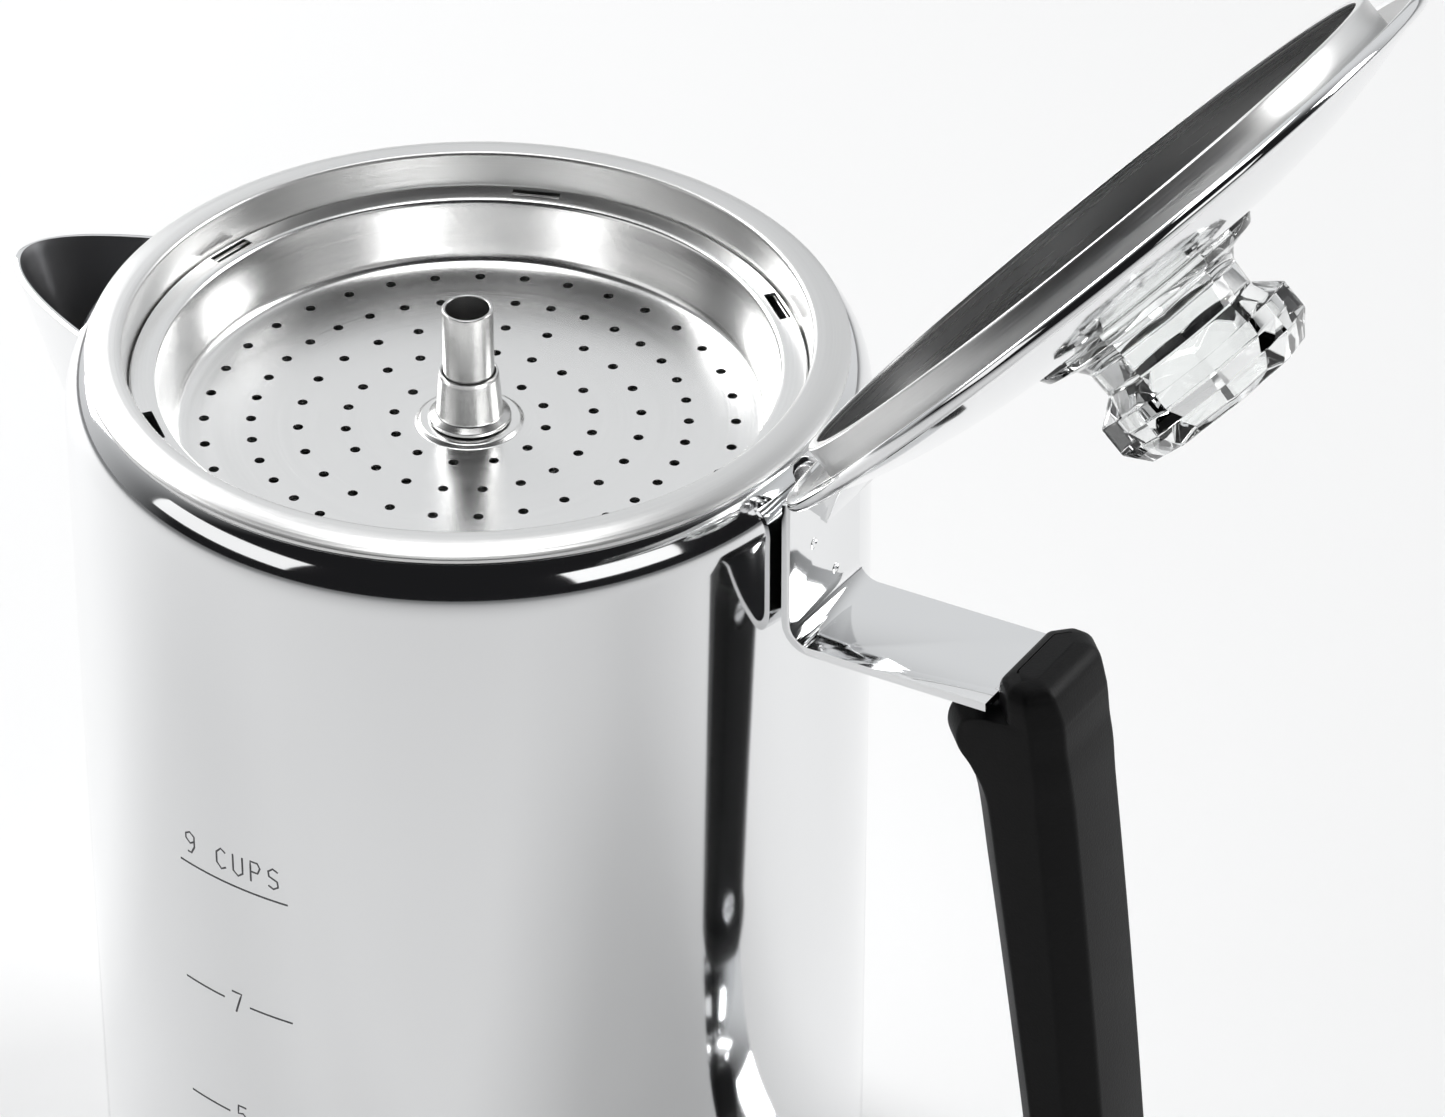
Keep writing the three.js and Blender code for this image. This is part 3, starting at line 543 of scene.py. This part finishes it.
LEDGE_TOP = CROWN - 5.6 - GAP
STEP = LEDGE_TOP - THIN - GAP
FLOOR = RIM - 60
flange_top = [(FLANGE - s * 0.5, flange_height(FLANGE - s * 0.5), 0.2) for s in range(10)]
basket_outline = [
    *flange_top, (WALL_TOP, CROWN, 1.0), (WALL_FOOT, STEP, 0.4), (CUP, STEP, 0.3),
    (CUP - 0.6, FLOOR + SHEET, 4), (0, FLOOR + SHEET), (0, FLOOR), (CUP - 0.6 + SHEET, FLOOR, 4.6),
    (CUP + SHEET, STEP - SHEET, 0.4), (WALL_FOOT + SHEET, STEP - SHEET, 0.4),
    (WALL_TOP + SHEET, CROWN - SHEET, 0.8), *[(r, z - SHEET, 0.2) for r, z, _ in flange_top[::-1]],
]
basket = turned("basket_cup", subdivided(rounded(basket_outline), 4.0))
bore_cutter = drum("bore_cutter", 5.5, -3, 3)
for count, ring in ((8, 14), (12, 27.8), (16, 41.6)):
    ring_of_cuts(basket, hole_cutter, count, ring, FLOOR, satin_steel)
ring_of_cuts(basket, bore_cutter, 1, 0, FLOOR, satin_steel)
dressed(settled(basket), satin_steel, "basket", "satin_steel", "basket")
sleeve_outline = [
    (4.4, 116.9), (7.6, 116.9, 0.3), (7.6, 117.7, 0.3), (5.2, 117.7, 0.2), (5.2, 130, 0.3), (4.4, 130, 0.3),
]
sleeve = turned("sleeve", rounded(sleeve_outline, 0.1), around=64)
dressed(sleeve, satin_steel, "basket", "satin_steel", "basket_sleeve")

# %% Spreader
DISC = 47.6
DISC_TOP = RIM - 15
WALL = CUP - 3.5
LEDGE = WALL_FOOT - 0.4
spreader_outline = [
    (LEDGE, LEDGE_TOP, 0.3), (WALL + 0.2, LEDGE_TOP, 1.0), (DISC, DISC_TOP, 2.2),
    (8.8, DISC_TOP, 0.5), (8.1, DISC_TOP + 0.6, 0.5), (0, DISC_TOP + 0.6), (0, DISC_TOP - 0.1),
    (7.9, DISC_TOP - 0.1, 0.5), (8.6, DISC_TOP - THIN, 0.5), (DISC + 0.5, DISC_TOP - THIN, 2.8),
    (WALL + 0.7, LEDGE_TOP - THIN, 0.5), (LEDGE, LEDGE_TOP - THIN, 0.3),
]
spreader = turned("spreader_dish", subdivided(rounded(spreader_outline)))
for count, ring in ((12, 12.5), (20, 20.12), (24, 27.75), (36, 35.38), (36, 43)):
    ring_of_cuts(spreader, hole_cutter, count, ring, DISC_TOP, bright_satin)
ring_of_cuts(spreader, slot_cutter, 6, (LEDGE + WALL + 1) / 2, LEDGE_TOP - THIN / 2, bright_satin)
stem_cutter = drum("stem_cutter", 4.4, -3, 3)
ring_of_cuts(spreader, stem_cutter, 1, 0, DISC_TOP, bright_satin)
dressed(settled(spreader), bright_satin, "spreader", "satin_steel", "spreader")
for cutter in (hole_cutter, slot_cutter, bore_cutter, stem_cutter, window_cutter):
    bpy.data.objects.remove(cutter)
collar_foot, collar_top = DISC_TOP + 0.9, DISC_TOP + 9.6
collar_outline = [
    (4.4, collar_foot), (6.8, collar_foot, 0.1), (6.6, collar_foot + 0.5, 0.2),
    (5.4, collar_foot + 1.2, 0.5), (4.9, collar_top - 0.6, 0.2), (4.75, collar_top, 0.1),
    (4.4, collar_top, 0.1),
]
collar = turned("collar", rounded(collar_outline, 0.1), around=64)
dressed(collar, stem_steel, "spreader", "satin_steel", "spreader_collar")

# %% [markdown]
# ## The stem
# Hot water rises through the tube from the bell, whose notched foot stands on the pot's floor.

# %% Stem tube and bell
tube_outline = [(STEM - 0.6, 13.4), (STEM, 13.4, 0.2), (STEM, 184.5, 0.25), (STEM - 0.6, 184.5, 0.2)]
tube = turned("tube", rounded(tube_outline, 0.15), around=64)
dressed(tube, stem_steel, "stem", "satin_steel", "stem_tube")
bell_outline = [
    (4.45, 24.4), (4.45, 19.4, 1), (23.2, 4.4, 1), (24.6, 4.4, 0.2), (24.6, 5.1, 0.2),
    (5.25, 20, 1.5), (5.25, 24.4, 0.2),
]
bell = turned("bell", rounded(bell_outline, 0.2), around=96)
for eighth in range(4):
    notch = box_mesh("notch", (72 * MM, 5 * MM, 3.2 * MM))
    notch.data.transform(Matrix.Translation((0, 0, 4.4 * MM)) @ Matrix.Rotation(eighth * pi / 4, 4, "Z"))
    settled(bell, combined(notch))
    bpy.data.objects.remove(notch)
dressed(bell, satin_steel, "stem", "satin_steel", "stem_bell")

# %% [markdown]
# ## The lid
# The lid's pieces are drawn as they lie when it is closed, and then swung open about the hinge
# pin in one step. Its rim is rolled over, and a skirt below it centres it in the basket.

# %% Lid dome and skirt
LID = FLANGE - 0.2
BEAD = 1.2
BEAD_X = LID - BEAD
LID_Z = flange_height(BEAD_X) + GAP + BEAD
HOLE = 15.6
SEAT = HOLE + 5.4
DOME = 7.2


def dome(radius):
    """How high the dome stands above its rim: flat round the knob, then falling away."""
    out = max(radius - SEAT, 0) / (BEAD_X - 0.6 - SEAT)
    return DOME * (1 - out * out)


dome_rows = [SEAT + (BEAD_X - 3.6 - SEAT) * i / 24 for i in range(25)]
bead = [(BEAD_X + BEAD * cos(radians(a)), LID_Z + BEAD * sin(radians(a)), 0) for a in range(130, -151, -20)]
lid_outline = [
    (HOLE, LID_Z + DOME + SHEET, 0.3), *[(r, LID_Z + dome(r) + SHEET, 0) for r in dome_rows], *bead,
    *[(r, LID_Z + dome(r), 0) for r in dome_rows[::-1]], (HOLE, LID_Z + DOME, 0.3),
]
lid_dome = turned("lid_dome", rounded(lid_outline), around=256)
lug_way = box_mesh("lug_way", (9 * MM, 2 * (HOLE + 1.7) * MM, 6 * MM))
lug_way.data.transform(Matrix.Translation((0, 0, (LID_Z + DOME) * MM)))
LID_AXIS = (LID_SWING.to_3x3() @ Vector((0, 0, 1))).normalized()
LID_MIDDLE = LID_SWING @ Vector((0, 0, LID_Z * MM))


def from_lid_axis(point):
    away = point - LID_MIDDLE
    return away - LID_AXIS * away.dot(LID_AXIS)


def faces_underneath(center, normal):
    """The dome's underside, inside its rolled rim."""
    return normal.dot(LID_AXIS) < -0.6 and from_lid_axis(center).length < (BEAD_X - 1.5) * MM


def faces_lid_axis(center, normal):
    """The inner side of a ring round the lid's axis."""
    return normal.dot(from_lid_axis(center)) < -0.6 * (center - LID_MIDDLE).length


# The dome's underside gets the darker lining: painted shade under the lid.
dressed(settled(lid_dome, combined(lug_way)), polished_steel, "lid", "mirror_steel", "lid_shell",
        placed=LID_SWING, lining=lid_lining_shade, is_lining=faces_underneath)
SKIRT = WALL_FOOT - 1.3
skirt_foot = LID_Z - 5


def under(radius):
    """Just below the dome, at a radius."""
    return LID_Z + dome(radius) - GAP - 0.05


skirt_tab = SKIRT - 3.4
skirt_outline = [
    (SKIRT, skirt_foot, 0.4), (SKIRT, under(SKIRT), 0.5), (skirt_tab, under(skirt_tab), 0.2),
    (skirt_tab, under(skirt_tab) - THIN, 0.2), (SKIRT - THIN, under(SKIRT - THIN) - THIN, 0.3),
    (SKIRT - THIN, skirt_foot + THIN, 0.2), (SKIRT - 1.8, skirt_foot + THIN, 0.1),
    (SKIRT - 1.8, skirt_foot, 0.1),
]
skirt = turned("lid_skirt_ring", rounded(skirt_outline, 0.2), around=256)
# The skirt's inner side gets the darker lining: painted shade inside the ring.
dressed(skirt, satin_steel, "lid", "satin_steel", "lid_skirt", placed=LID_SWING,
        lining=lid_lining_shade, is_lining=faces_lid_axis)

# %% [markdown]
# ## The glass knob
# The knob is pressed glass: a round flange and neck under an eight-sided head. One outline is
# turned, and on the head each point moves out or in to follow the octagon, so head and neck stay
# one closed skin with the bore inside.

# %% Knob and its spring
KNOB_FOOT = LID_Z + DOME + SHEET + GAP
BORE = HOLE - 4.4
NECK = HOLE - 1.8
HEAD = NECK + 3.8


def eight_sided(height, angle):
    """How far the skin stands out at an angle, for a head that is an octagon in plan."""
    head = min(max((height - KNOB_FOOT - 9.4) / 2.2, 0), 1)
    away = (angle + pi / 8) % (pi / 4) - pi / 8
    flat = cos(pi / 8) / cos(pi / 8 - abs(away))
    return 1 + head * (flat - 1)


def knob_outline():
    outside = [
        (0, 21), (HEAD - 3, 21, 0.5), (HEAD, 17.4, 0.5), (HEAD, 12.4, 0.5), (NECK - 0.2, 9.2, 0.6),
        (NECK, 5, 1.5), (NECK + 1.4, 3.2, 0.8), (HOLE + 3.8, 2.1, 0.4), (HOLE + 4.6, 0.9, 0.4),
        (HOLE + 4.4, 0, 0.3), (HOLE - 0.5, 0, 0.1), (HOLE - 0.5, -5, 0.4), (BORE, -5, 0.4),
    ]
    return [(p[0], p[1] + KNOB_FOOT, *p[2:]) for p in outside]


bore_top = KNOB_FOOT + 18.4
bore_outline = [(0, bore_top), (BORE - 3, bore_top, 1), (BORE, bore_top - 3, 1), (BORE, KNOB_FOOT - 5, 0)]
knob_profile = rounded(knob_outline(), 0.3) + rounded(bore_outline)[::-1]
knob = turned("knob", knob_profile, around=192, radius_at=eight_sided)
lugs = box_mesh("lugs", (2 * (HOLE + 1.4) * MM, 8 * MM, 1.8 * MM))
lugs.data.transform(Matrix.Translation((0, 0, (LID_Z + DOME - 2.1) * MM)))
knob_bore = drum("knob_bore", BORE, KNOB_FOOT - 9, KNOB_FOOT + 9, around=192)
settled(lugs, combined(knob_bore))
settled(knob, combined(lugs, "UNION"))
dressed(knob, clear_glass, "knob", "clear_glass", "knob_glass", placed=LID_SWING, sharp=24)
spring_top = LID_Z + DOME - GAP
spring = turned("knob_spring_ring", rounded([(HOLE, spring_top - 0.6), (HOLE + 4, spring_top - 0.6),
                                             (HOLE + 4, spring_top), (HOLE, spring_top)], 0.15), around=128)
dressed(settled(spring, combined(lug_way)), satin_steel, "lid", "satin_steel", "knob_spring",
        placed=LID_SWING)
for cutter in (lugs, knob_bore, lug_way):
    bpy.data.objects.remove(cutter)

# %% [markdown]
# ## Straps, bracket, grip and fasteners
# These solids already have the right shape, but their edges are knife-sharp. A real strap's edges
# are tumbled smooth and a moulded grip has generous corners. A copy of each solid has its loose
# triangles merged into flat faces, and a bevel rounds the edges that are left.

# %% Softened copies of the solids
def softened(node, name, width):
    """A copy of a solid with its edges rounded to a width in millimetres."""
    bm = bmesh.new()
    bm.from_mesh(nodes[node].data)
    bmesh.ops.remove_doubles(bm, verts=bm.verts, dist=1e-6)
    bmesh.ops.dissolve_limit(bm, angle_limit=radians(1), verts=bm.verts, edges=bm.edges)
    return settled(new_object(name, bm), ("BEVEL", {
        "width": width * MM, "segments": 3, "limit_method": "ANGLE", "angle_limit": radians(28)}))


for node, name, body, width in (("upper_strap", "strap_upper", "pot", 0.3),
                                ("lower_strap", "strap_lower", "pot", 0.3),
                                ("lid_bracket", "bracket", "lid", 0.2)):
    dressed(softened(node, name, width), polished_steel, body, "mirror_steel", node, sharp=40)
dressed(softened("hinge_pin", "pin", 0.25), screw_steel, "pot", "satin_steel", "hinge_pin")
for place in ("upper", "lower"):
    node = place + "_grip_screw"
    dressed(softened(node, place + "_screw", 0.2), screw_steel, "pot", "satin_steel", node)

# %% [markdown]
# ## The grip
# The grip is a moulding whose section is a rectangle with broad cut corners. Its solid has few
# sections, so its long curves would show kinks. Here the same sections are rows of numbers, a
# smooth curve is passed through each column, and every cut corner gets a small arc.

# %% Grip sections
ENTRY = 102.8
GRIP_END = 135.0


def grip_middle(drop):
    """The grip's middle line, which leans out as it drops from the rim."""
    down = drop - 45
    return 107.9 + 0.148 * down - 0.0002 * down * down


def straight_row(drop, inner=0, outer=0, narrower=0, bevel=4.4):
    depth = 8.9 - 0.022 * (drop - 45)
    return (drop, grip_middle(drop) - depth + inner, grip_middle(drop) + depth - outer, 11 - narrower, bevel)


GRIP_ROWS = [
    (21.8, ENTRY + 2.6, ENTRY + 6.2, 7.6, 1.8), (22.3, ENTRY + 1.2, ENTRY + 8.4, 9.4, 2.6),
    (23.6, ENTRY + 0.3, ENTRY + 9.9, 10.6, 3.3), (25.8, ENTRY, ENTRY + 10.8, 11, 3.8),
    (28.3, ENTRY, ENTRY + 11.6, 11, 4), (29.2, ENTRY - 4.8, ENTRY + 11.75, 11, 4),
    (30.6, ENTRY - 8.0, ENTRY + 11.95, 11, 4), (33.8, ENTRY - 9.2, ENTRY + 12.3, 11, 4),
    (36.5, ENTRY - 8.6, ENTRY + 12.8, 11, 4), (39.5, ENTRY - 6.2, ENTRY + 13.3, 11, 4.1),
    *[straight_row(drop) for drop in (45, 58, 71, 84, 97, 110, 121)],
    straight_row(124, -1.4), straight_row(129, -1.2), straight_row(133, 0.4, 0.8, 0.8, 4),
    straight_row(134.5, 1.4, 1.7, 1.7, 3.4), straight_row(GRIP_END, 3, 3.4, 3.4, 2.4),
]


def smooth_step(before, here, after, beyond, t):
    """A point on the curve from `here` to `after`, held back so that it doesn't swing past either."""
    limit = 2.5 * abs(after - here)
    low = max(-limit, min((after - before) / 2, limit))
    high = max(-limit, min((beyond - here) / 2, limit))
    rise = after - here
    return here + t * low + t * t * (3 * rise - 2 * low - high) + t ** 3 * (low + high - 2 * rise)


def smooth_rows(rows, steps=5):
    """Pass a smooth curve through each column of a table, and read it more finely."""
    result = []
    last = len(rows) - 1
    for i in range(last):
        around = [rows[min(max(k, 0), last)] for k in (i - 1, i, i + 1, i + 2)]
        for step in range(steps):
            result.append([smooth_step(*column, step / steps) for column in zip(*around)])
    return result + [list(rows[-1])]


CORNER = 1.4  # reach of the arc on each cut corner


def grip_section(inner, outer, half, bevel):
    """The section's outline: a rectangle whose corners are cut off and then rounded."""
    return rounded([
        (inner + bevel, -half), (outer - bevel, -half), (outer, -half + bevel), (outer, half - bevel),
        (outer - bevel, half), (inner + bevel, half), (inner, half - bevel), (inner, -half + bevel),
    ], CORNER)


bm = bmesh.new()
grip_rings = []
for drop, *section in smooth_rows(GRIP_ROWS):
    height = (RIM - drop) * MM
    grip_rings.append([bm.verts.new((p.x * MM, p.y * MM, height)) for p in grip_section(*section)])
for a, b in zip(grip_rings, grip_rings[1:]):
    for i in range(len(a)):
        bm.faces.new((a[i - 1], a[i], b[i], b[i - 1]))
bm.faces.new(grip_rings[0])
bm.faces.new(grip_rings[-1])
bmesh.ops.recalc_face_normals(bm, faces=bm.faces)
grip = new_object("grip_moulding", bm)
print("the grip has", len(grip_rings), "sections")


# %% Openings in the grip for the upper strap and the screws
def sideways_drill(radius, low, high, height):
    drill = drum("drill", radius, low, high, around=40)
    drill.data.transform(Matrix.Translation((0, 0, height * MM)) @ Matrix.Rotation(pi / 2, 4, "Y"))
    return drill


strap_slot = box_mesh("strap_slot", (16 * MM, 13.6 * MM, 2.1 * MM))
strap_slot.data.transform(Matrix.Translation(((ENTRY - 2) * MM, 0, 151.1 * MM)))
cuts = [strap_slot]
for drop in (47, 119):
    seat = grip_middle(drop) - 5.2
    cuts.append(sideways_drill(3.5, seat - 12, seat, RIM - drop))
for cut in cuts:
    settled(grip, combined(cut))
    bpy.data.objects.remove(cut)
dressed(grip, grip_black, "pot", "black_grip", "grip", sharp=35)

# %% [markdown]
# ## Spot welds
# The strap is spot-welded to the pot. The electrode leaves shallow round dimples, each with a
# slightly raised ring. They repeat, so a Geometry Nodes tree copies one dimple to each point.

# %% Weld dimples
def dimple_tree():
    tree, take, start = geometry_tree("weld_dimples", Geometry="Geometry", Dimple="Object", Finish="Material")
    shape = start.make("GeometryNodeObjectInfo", (), {"Object": take["Dimple"]}, "Geometry")
    copies = start.make("GeometryNodeInstanceOnPoints", (), {"Points": take["Geometry"], "Instance": shape})
    real = start.make("GeometryNodeRealizeInstances", (), {"Geometry": copies})
    done = start.make("GeometryNodeSetMaterial", (), {"Geometry": real, "Material": take["Finish"]})
    start.make("NodeGroupOutput", (), {0: done})
    return tree


dimple_outline = [(0, -0.3), (1.0, -0.3), (1.0, 0.06), (0.7, 0.12), (0.4, 0.02), (0, 0.0)]
dimple = turned("dimple", rounded(dimple_outline, 0.1), around=24)
dimple.data.transform(Matrix.Rotation(pi / 2, 4, "Y"))
STRAP_FACE = 66.9
weld_points = bpy.data.meshes.new("weld_dimples")
weld_points.from_pydata([(STRAP_FACE * MM, y * MM, (RIM - drop) * MM) for y, drop in
                         ((-3.4, 13.0), (3.4, 21.7))], [], [])
welds = new_object("weld_dimples", weld_points)
add_tree(welds, dimple_tree(), {"Dimple": dimple, "Finish": polished_steel})
settled(welds)
bpy.data.objects.remove(dimple)
dressed(welds, polished_steel, "pot", "mirror_steel")

# %% [markdown]
# ## Etched level marks
# Short lines with plain numbers show how many cups are in the pot. Each stroke is a thin ribbon
# that follows the wall, two hundredths of a millimetre proud of it.

# %% Level marks
MARK_RADIUS = BODY + 0.02
STROKES = {
    "9": [(0.9, 0.62), (0.5, 0.45), (0.12, 0.62), (0.12, 0.85), (0.5, 1), (0.88, 0.85), (0.88, 0.35),
          (0.6, 0), (0.25, 0)],
    "7": [(0.1, 1), (0.9, 1), (0.4, 0)],
    "5": [(0.85, 1), (0.2, 1), (0.15, 0.58), (0.55, 0.65), (0.88, 0.45), (0.85, 0.15), (0.5, 0), (0.12, 0.1)],
    "3": [(0.12, 0.9), (0.5, 1), (0.85, 0.85), (0.8, 0.6), (0.45, 0.53), (0.85, 0.42), (0.88, 0.15),
          (0.5, 0), (0.1, 0.1)],
    "C": [(0.88, 0.85), (0.5, 1), (0.12, 0.75), (0.12, 0.25), (0.5, 0), (0.88, 0.15)],
    "U": [(0.12, 1), (0.12, 0.2), (0.5, 0), (0.88, 0.2), (0.88, 1)],
    "P": [(0.15, 0), (0.15, 1), (0.7, 1), (0.88, 0.78), (0.7, 0.5), (0.15, 0.5)],
    "S": [(0.88, 0.88), (0.5, 1), (0.14, 0.82), (0.2, 0.58), (0.8, 0.42), (0.86, 0.16), (0.5, 0),
          (0.12, 0.12)],
}


def stroke(bm, line, width=0.35):
    """A ribbon on the wall along (millimetres round from the handle's line, height) points."""
    points = []
    line = [Vector(p) for p in line]
    for here, after in zip(line, line[1:]):
        steps = max(int((after - here).length / 0.8), 1)
        points += [here.lerp(after, i / steps) for i in range(steps)]
    points.append(line[-1])
    edges = []
    for i, point in enumerate(points):
        along = (points[min(i + 1, len(points) - 1)] - points[max(i - 1, 0)]).normalized()
        side = Vector((-along.y, along.x)) * width / 2
        for x, z in (point + side, point - side):
            radius, angle = MARK_RADIUS * MM, x / BODY
            edges.append(bm.verts.new((radius * cos(angle), radius * sin(angle), z * MM)))
    for i in range(0, len(edges) - 2, 2):
        bm.faces.new((edges[i], edges[i + 1], edges[i + 3], edges[i + 2]))


def on_wall(degrees):
    return radians(degrees) * BODY


def lettering(bm, text, start, low, size=4.0, pitch=3.4):
    for i, letter in enumerate(text):
        if letter in STROKES:
            stroke(bm, [(start + i * pitch + x * size * 0.62, low + z * size) for x, z in STROKES[letter]])


bm = bmesh.new()
first, last, middle = on_wall(-103.7), on_wall(-84.3), on_wall(-93.8)
for cups, drop in ((9, 69.0), (7, 92.9), (5, 116.6), (3, 140.4)):  # drop: depth below the rim
    level = RIM - drop
    if cups == 9:
        stroke(bm, [(first, level), (last, level)])
        lettering(bm, "9 CUPS", on_wall(-102.6), level + 2.4)
    else:
        stroke(bm, [(first, level), (middle - 2.6, level)])
        stroke(bm, [(middle + 2.6, level), (last, level)])
        lettering(bm, str(cups), middle - 1.25, level - 2.0)
for face in bm.faces:
    face.normal_update()
    center = face.calc_center_median()
    if face.normal.x * center.x + face.normal.y * center.y < 0:
        face.normal_flip()
dressed(new_object("level_marks", bm), etched_mark, "pot", "satin_steel")

# %% [markdown]
# ## Floor, light and camera
# Polished steel is lit by what it reflects: broad soft lights leave clean white shapes, and the
# darker side of the sky draws the soft grey bands between them.

# %% Floor and sky
bm = bmesh.new()
bmesh.ops.create_grid(bm, x_segments=1, y_segments=1, size=6)
floor = new_object("floor", bm)
floor.data.materials.append(finish("pale_floor", {"Base Color": (0.86, 0.86, 0.86, 1), "Roughness": 0.6}))
world = bpy.data.worlds.new("studio")
bpy.context.scene.world = world
world.use_nodes = True
sky = Signal(world.node_tree)
BEHIND = (-0.524, 0.852, 0.0)  # from the camera, past the pot
toward = sky.make("ShaderNodeTexCoord", output=0)
behind = sky.make("ShaderNodeVectorMath", {"operation": "DOT_PRODUCT"},
                  {0: toward, 1: BEHIND}, 1)
lit = sky.make("ShaderNodeMapRange", {"interpolation_type": "SMOOTHSTEP"},
               {0: behind, 1: -0.15, 2: 0.85, 3: 0.0, 4: 1.0})
shade = sky.blend(lit, (0.012, 0.012, 0.013, 1), (0.74, 0.75, 0.76, 1))
world.node_tree.links.new(shade.socket, world.node_tree.nodes["Background"].inputs["Color"])
world.node_tree.nodes["Background"].inputs["Strength"].default_value = 1.0
print("the sky runs from dark at the camera's back to pale behind the pot")

# %% Soft lights
def aimed(obj, place, target):
    obj.location = place
    obj.rotation_euler = (Vector(target) - obj.location).to_track_quat("-Z", "Y").to_euler()


def soft_light(name, place, size, watts, height=None):
    light = bpy.data.lights.new(name, "AREA")
    light.shape = "RECTANGLE"
    light.size, light.size_y = size, height or size
    light.energy = watts
    lamp = bpy.data.objects.new(name, light)
    aimed(lamp, place, (0, 0, 0.1))
    bpy.context.scene.collection.objects.link(lamp)
    print("lamp", name, watts, "watts")


soft_light("overhead", (-0.1, 0.1, 1.5), 0.7, 5)
soft_light("back_left", (-1.15, 0.35, 0.85), 0.6, 13, 0.9)
soft_light("back_right", (1.05, 0.95, 0.9), 0.6, 11, 0.9)
soft_light("front_left", (-0.84, -1.08, 0.75), 1.2, 2.3, 0.6)
soft_light("front_right", (1.37, -0.36, 0.75), 0.8, 1.7, 0.6)

# %% Camera
camera_data = bpy.data.cameras.new("camera")
camera_data.lens = 182.07
camera_data.sensor_width = 36
camera_data.clip_end = 50
camera = bpy.data.objects.new("camera", camera_data)
aimed(camera, (0.5501, -0.8156, 0.8176), (0.0441, 0.0062, 0.1481))
bpy.context.scene.collection.objects.link(camera)
bpy.context.scene.camera = camera
bpy.context.scene.view_settings.view_transform = "Standard"
print("camera", round(camera_data.lens, 1), "mm, at", tuple(round(c, 2) for c in camera.location))
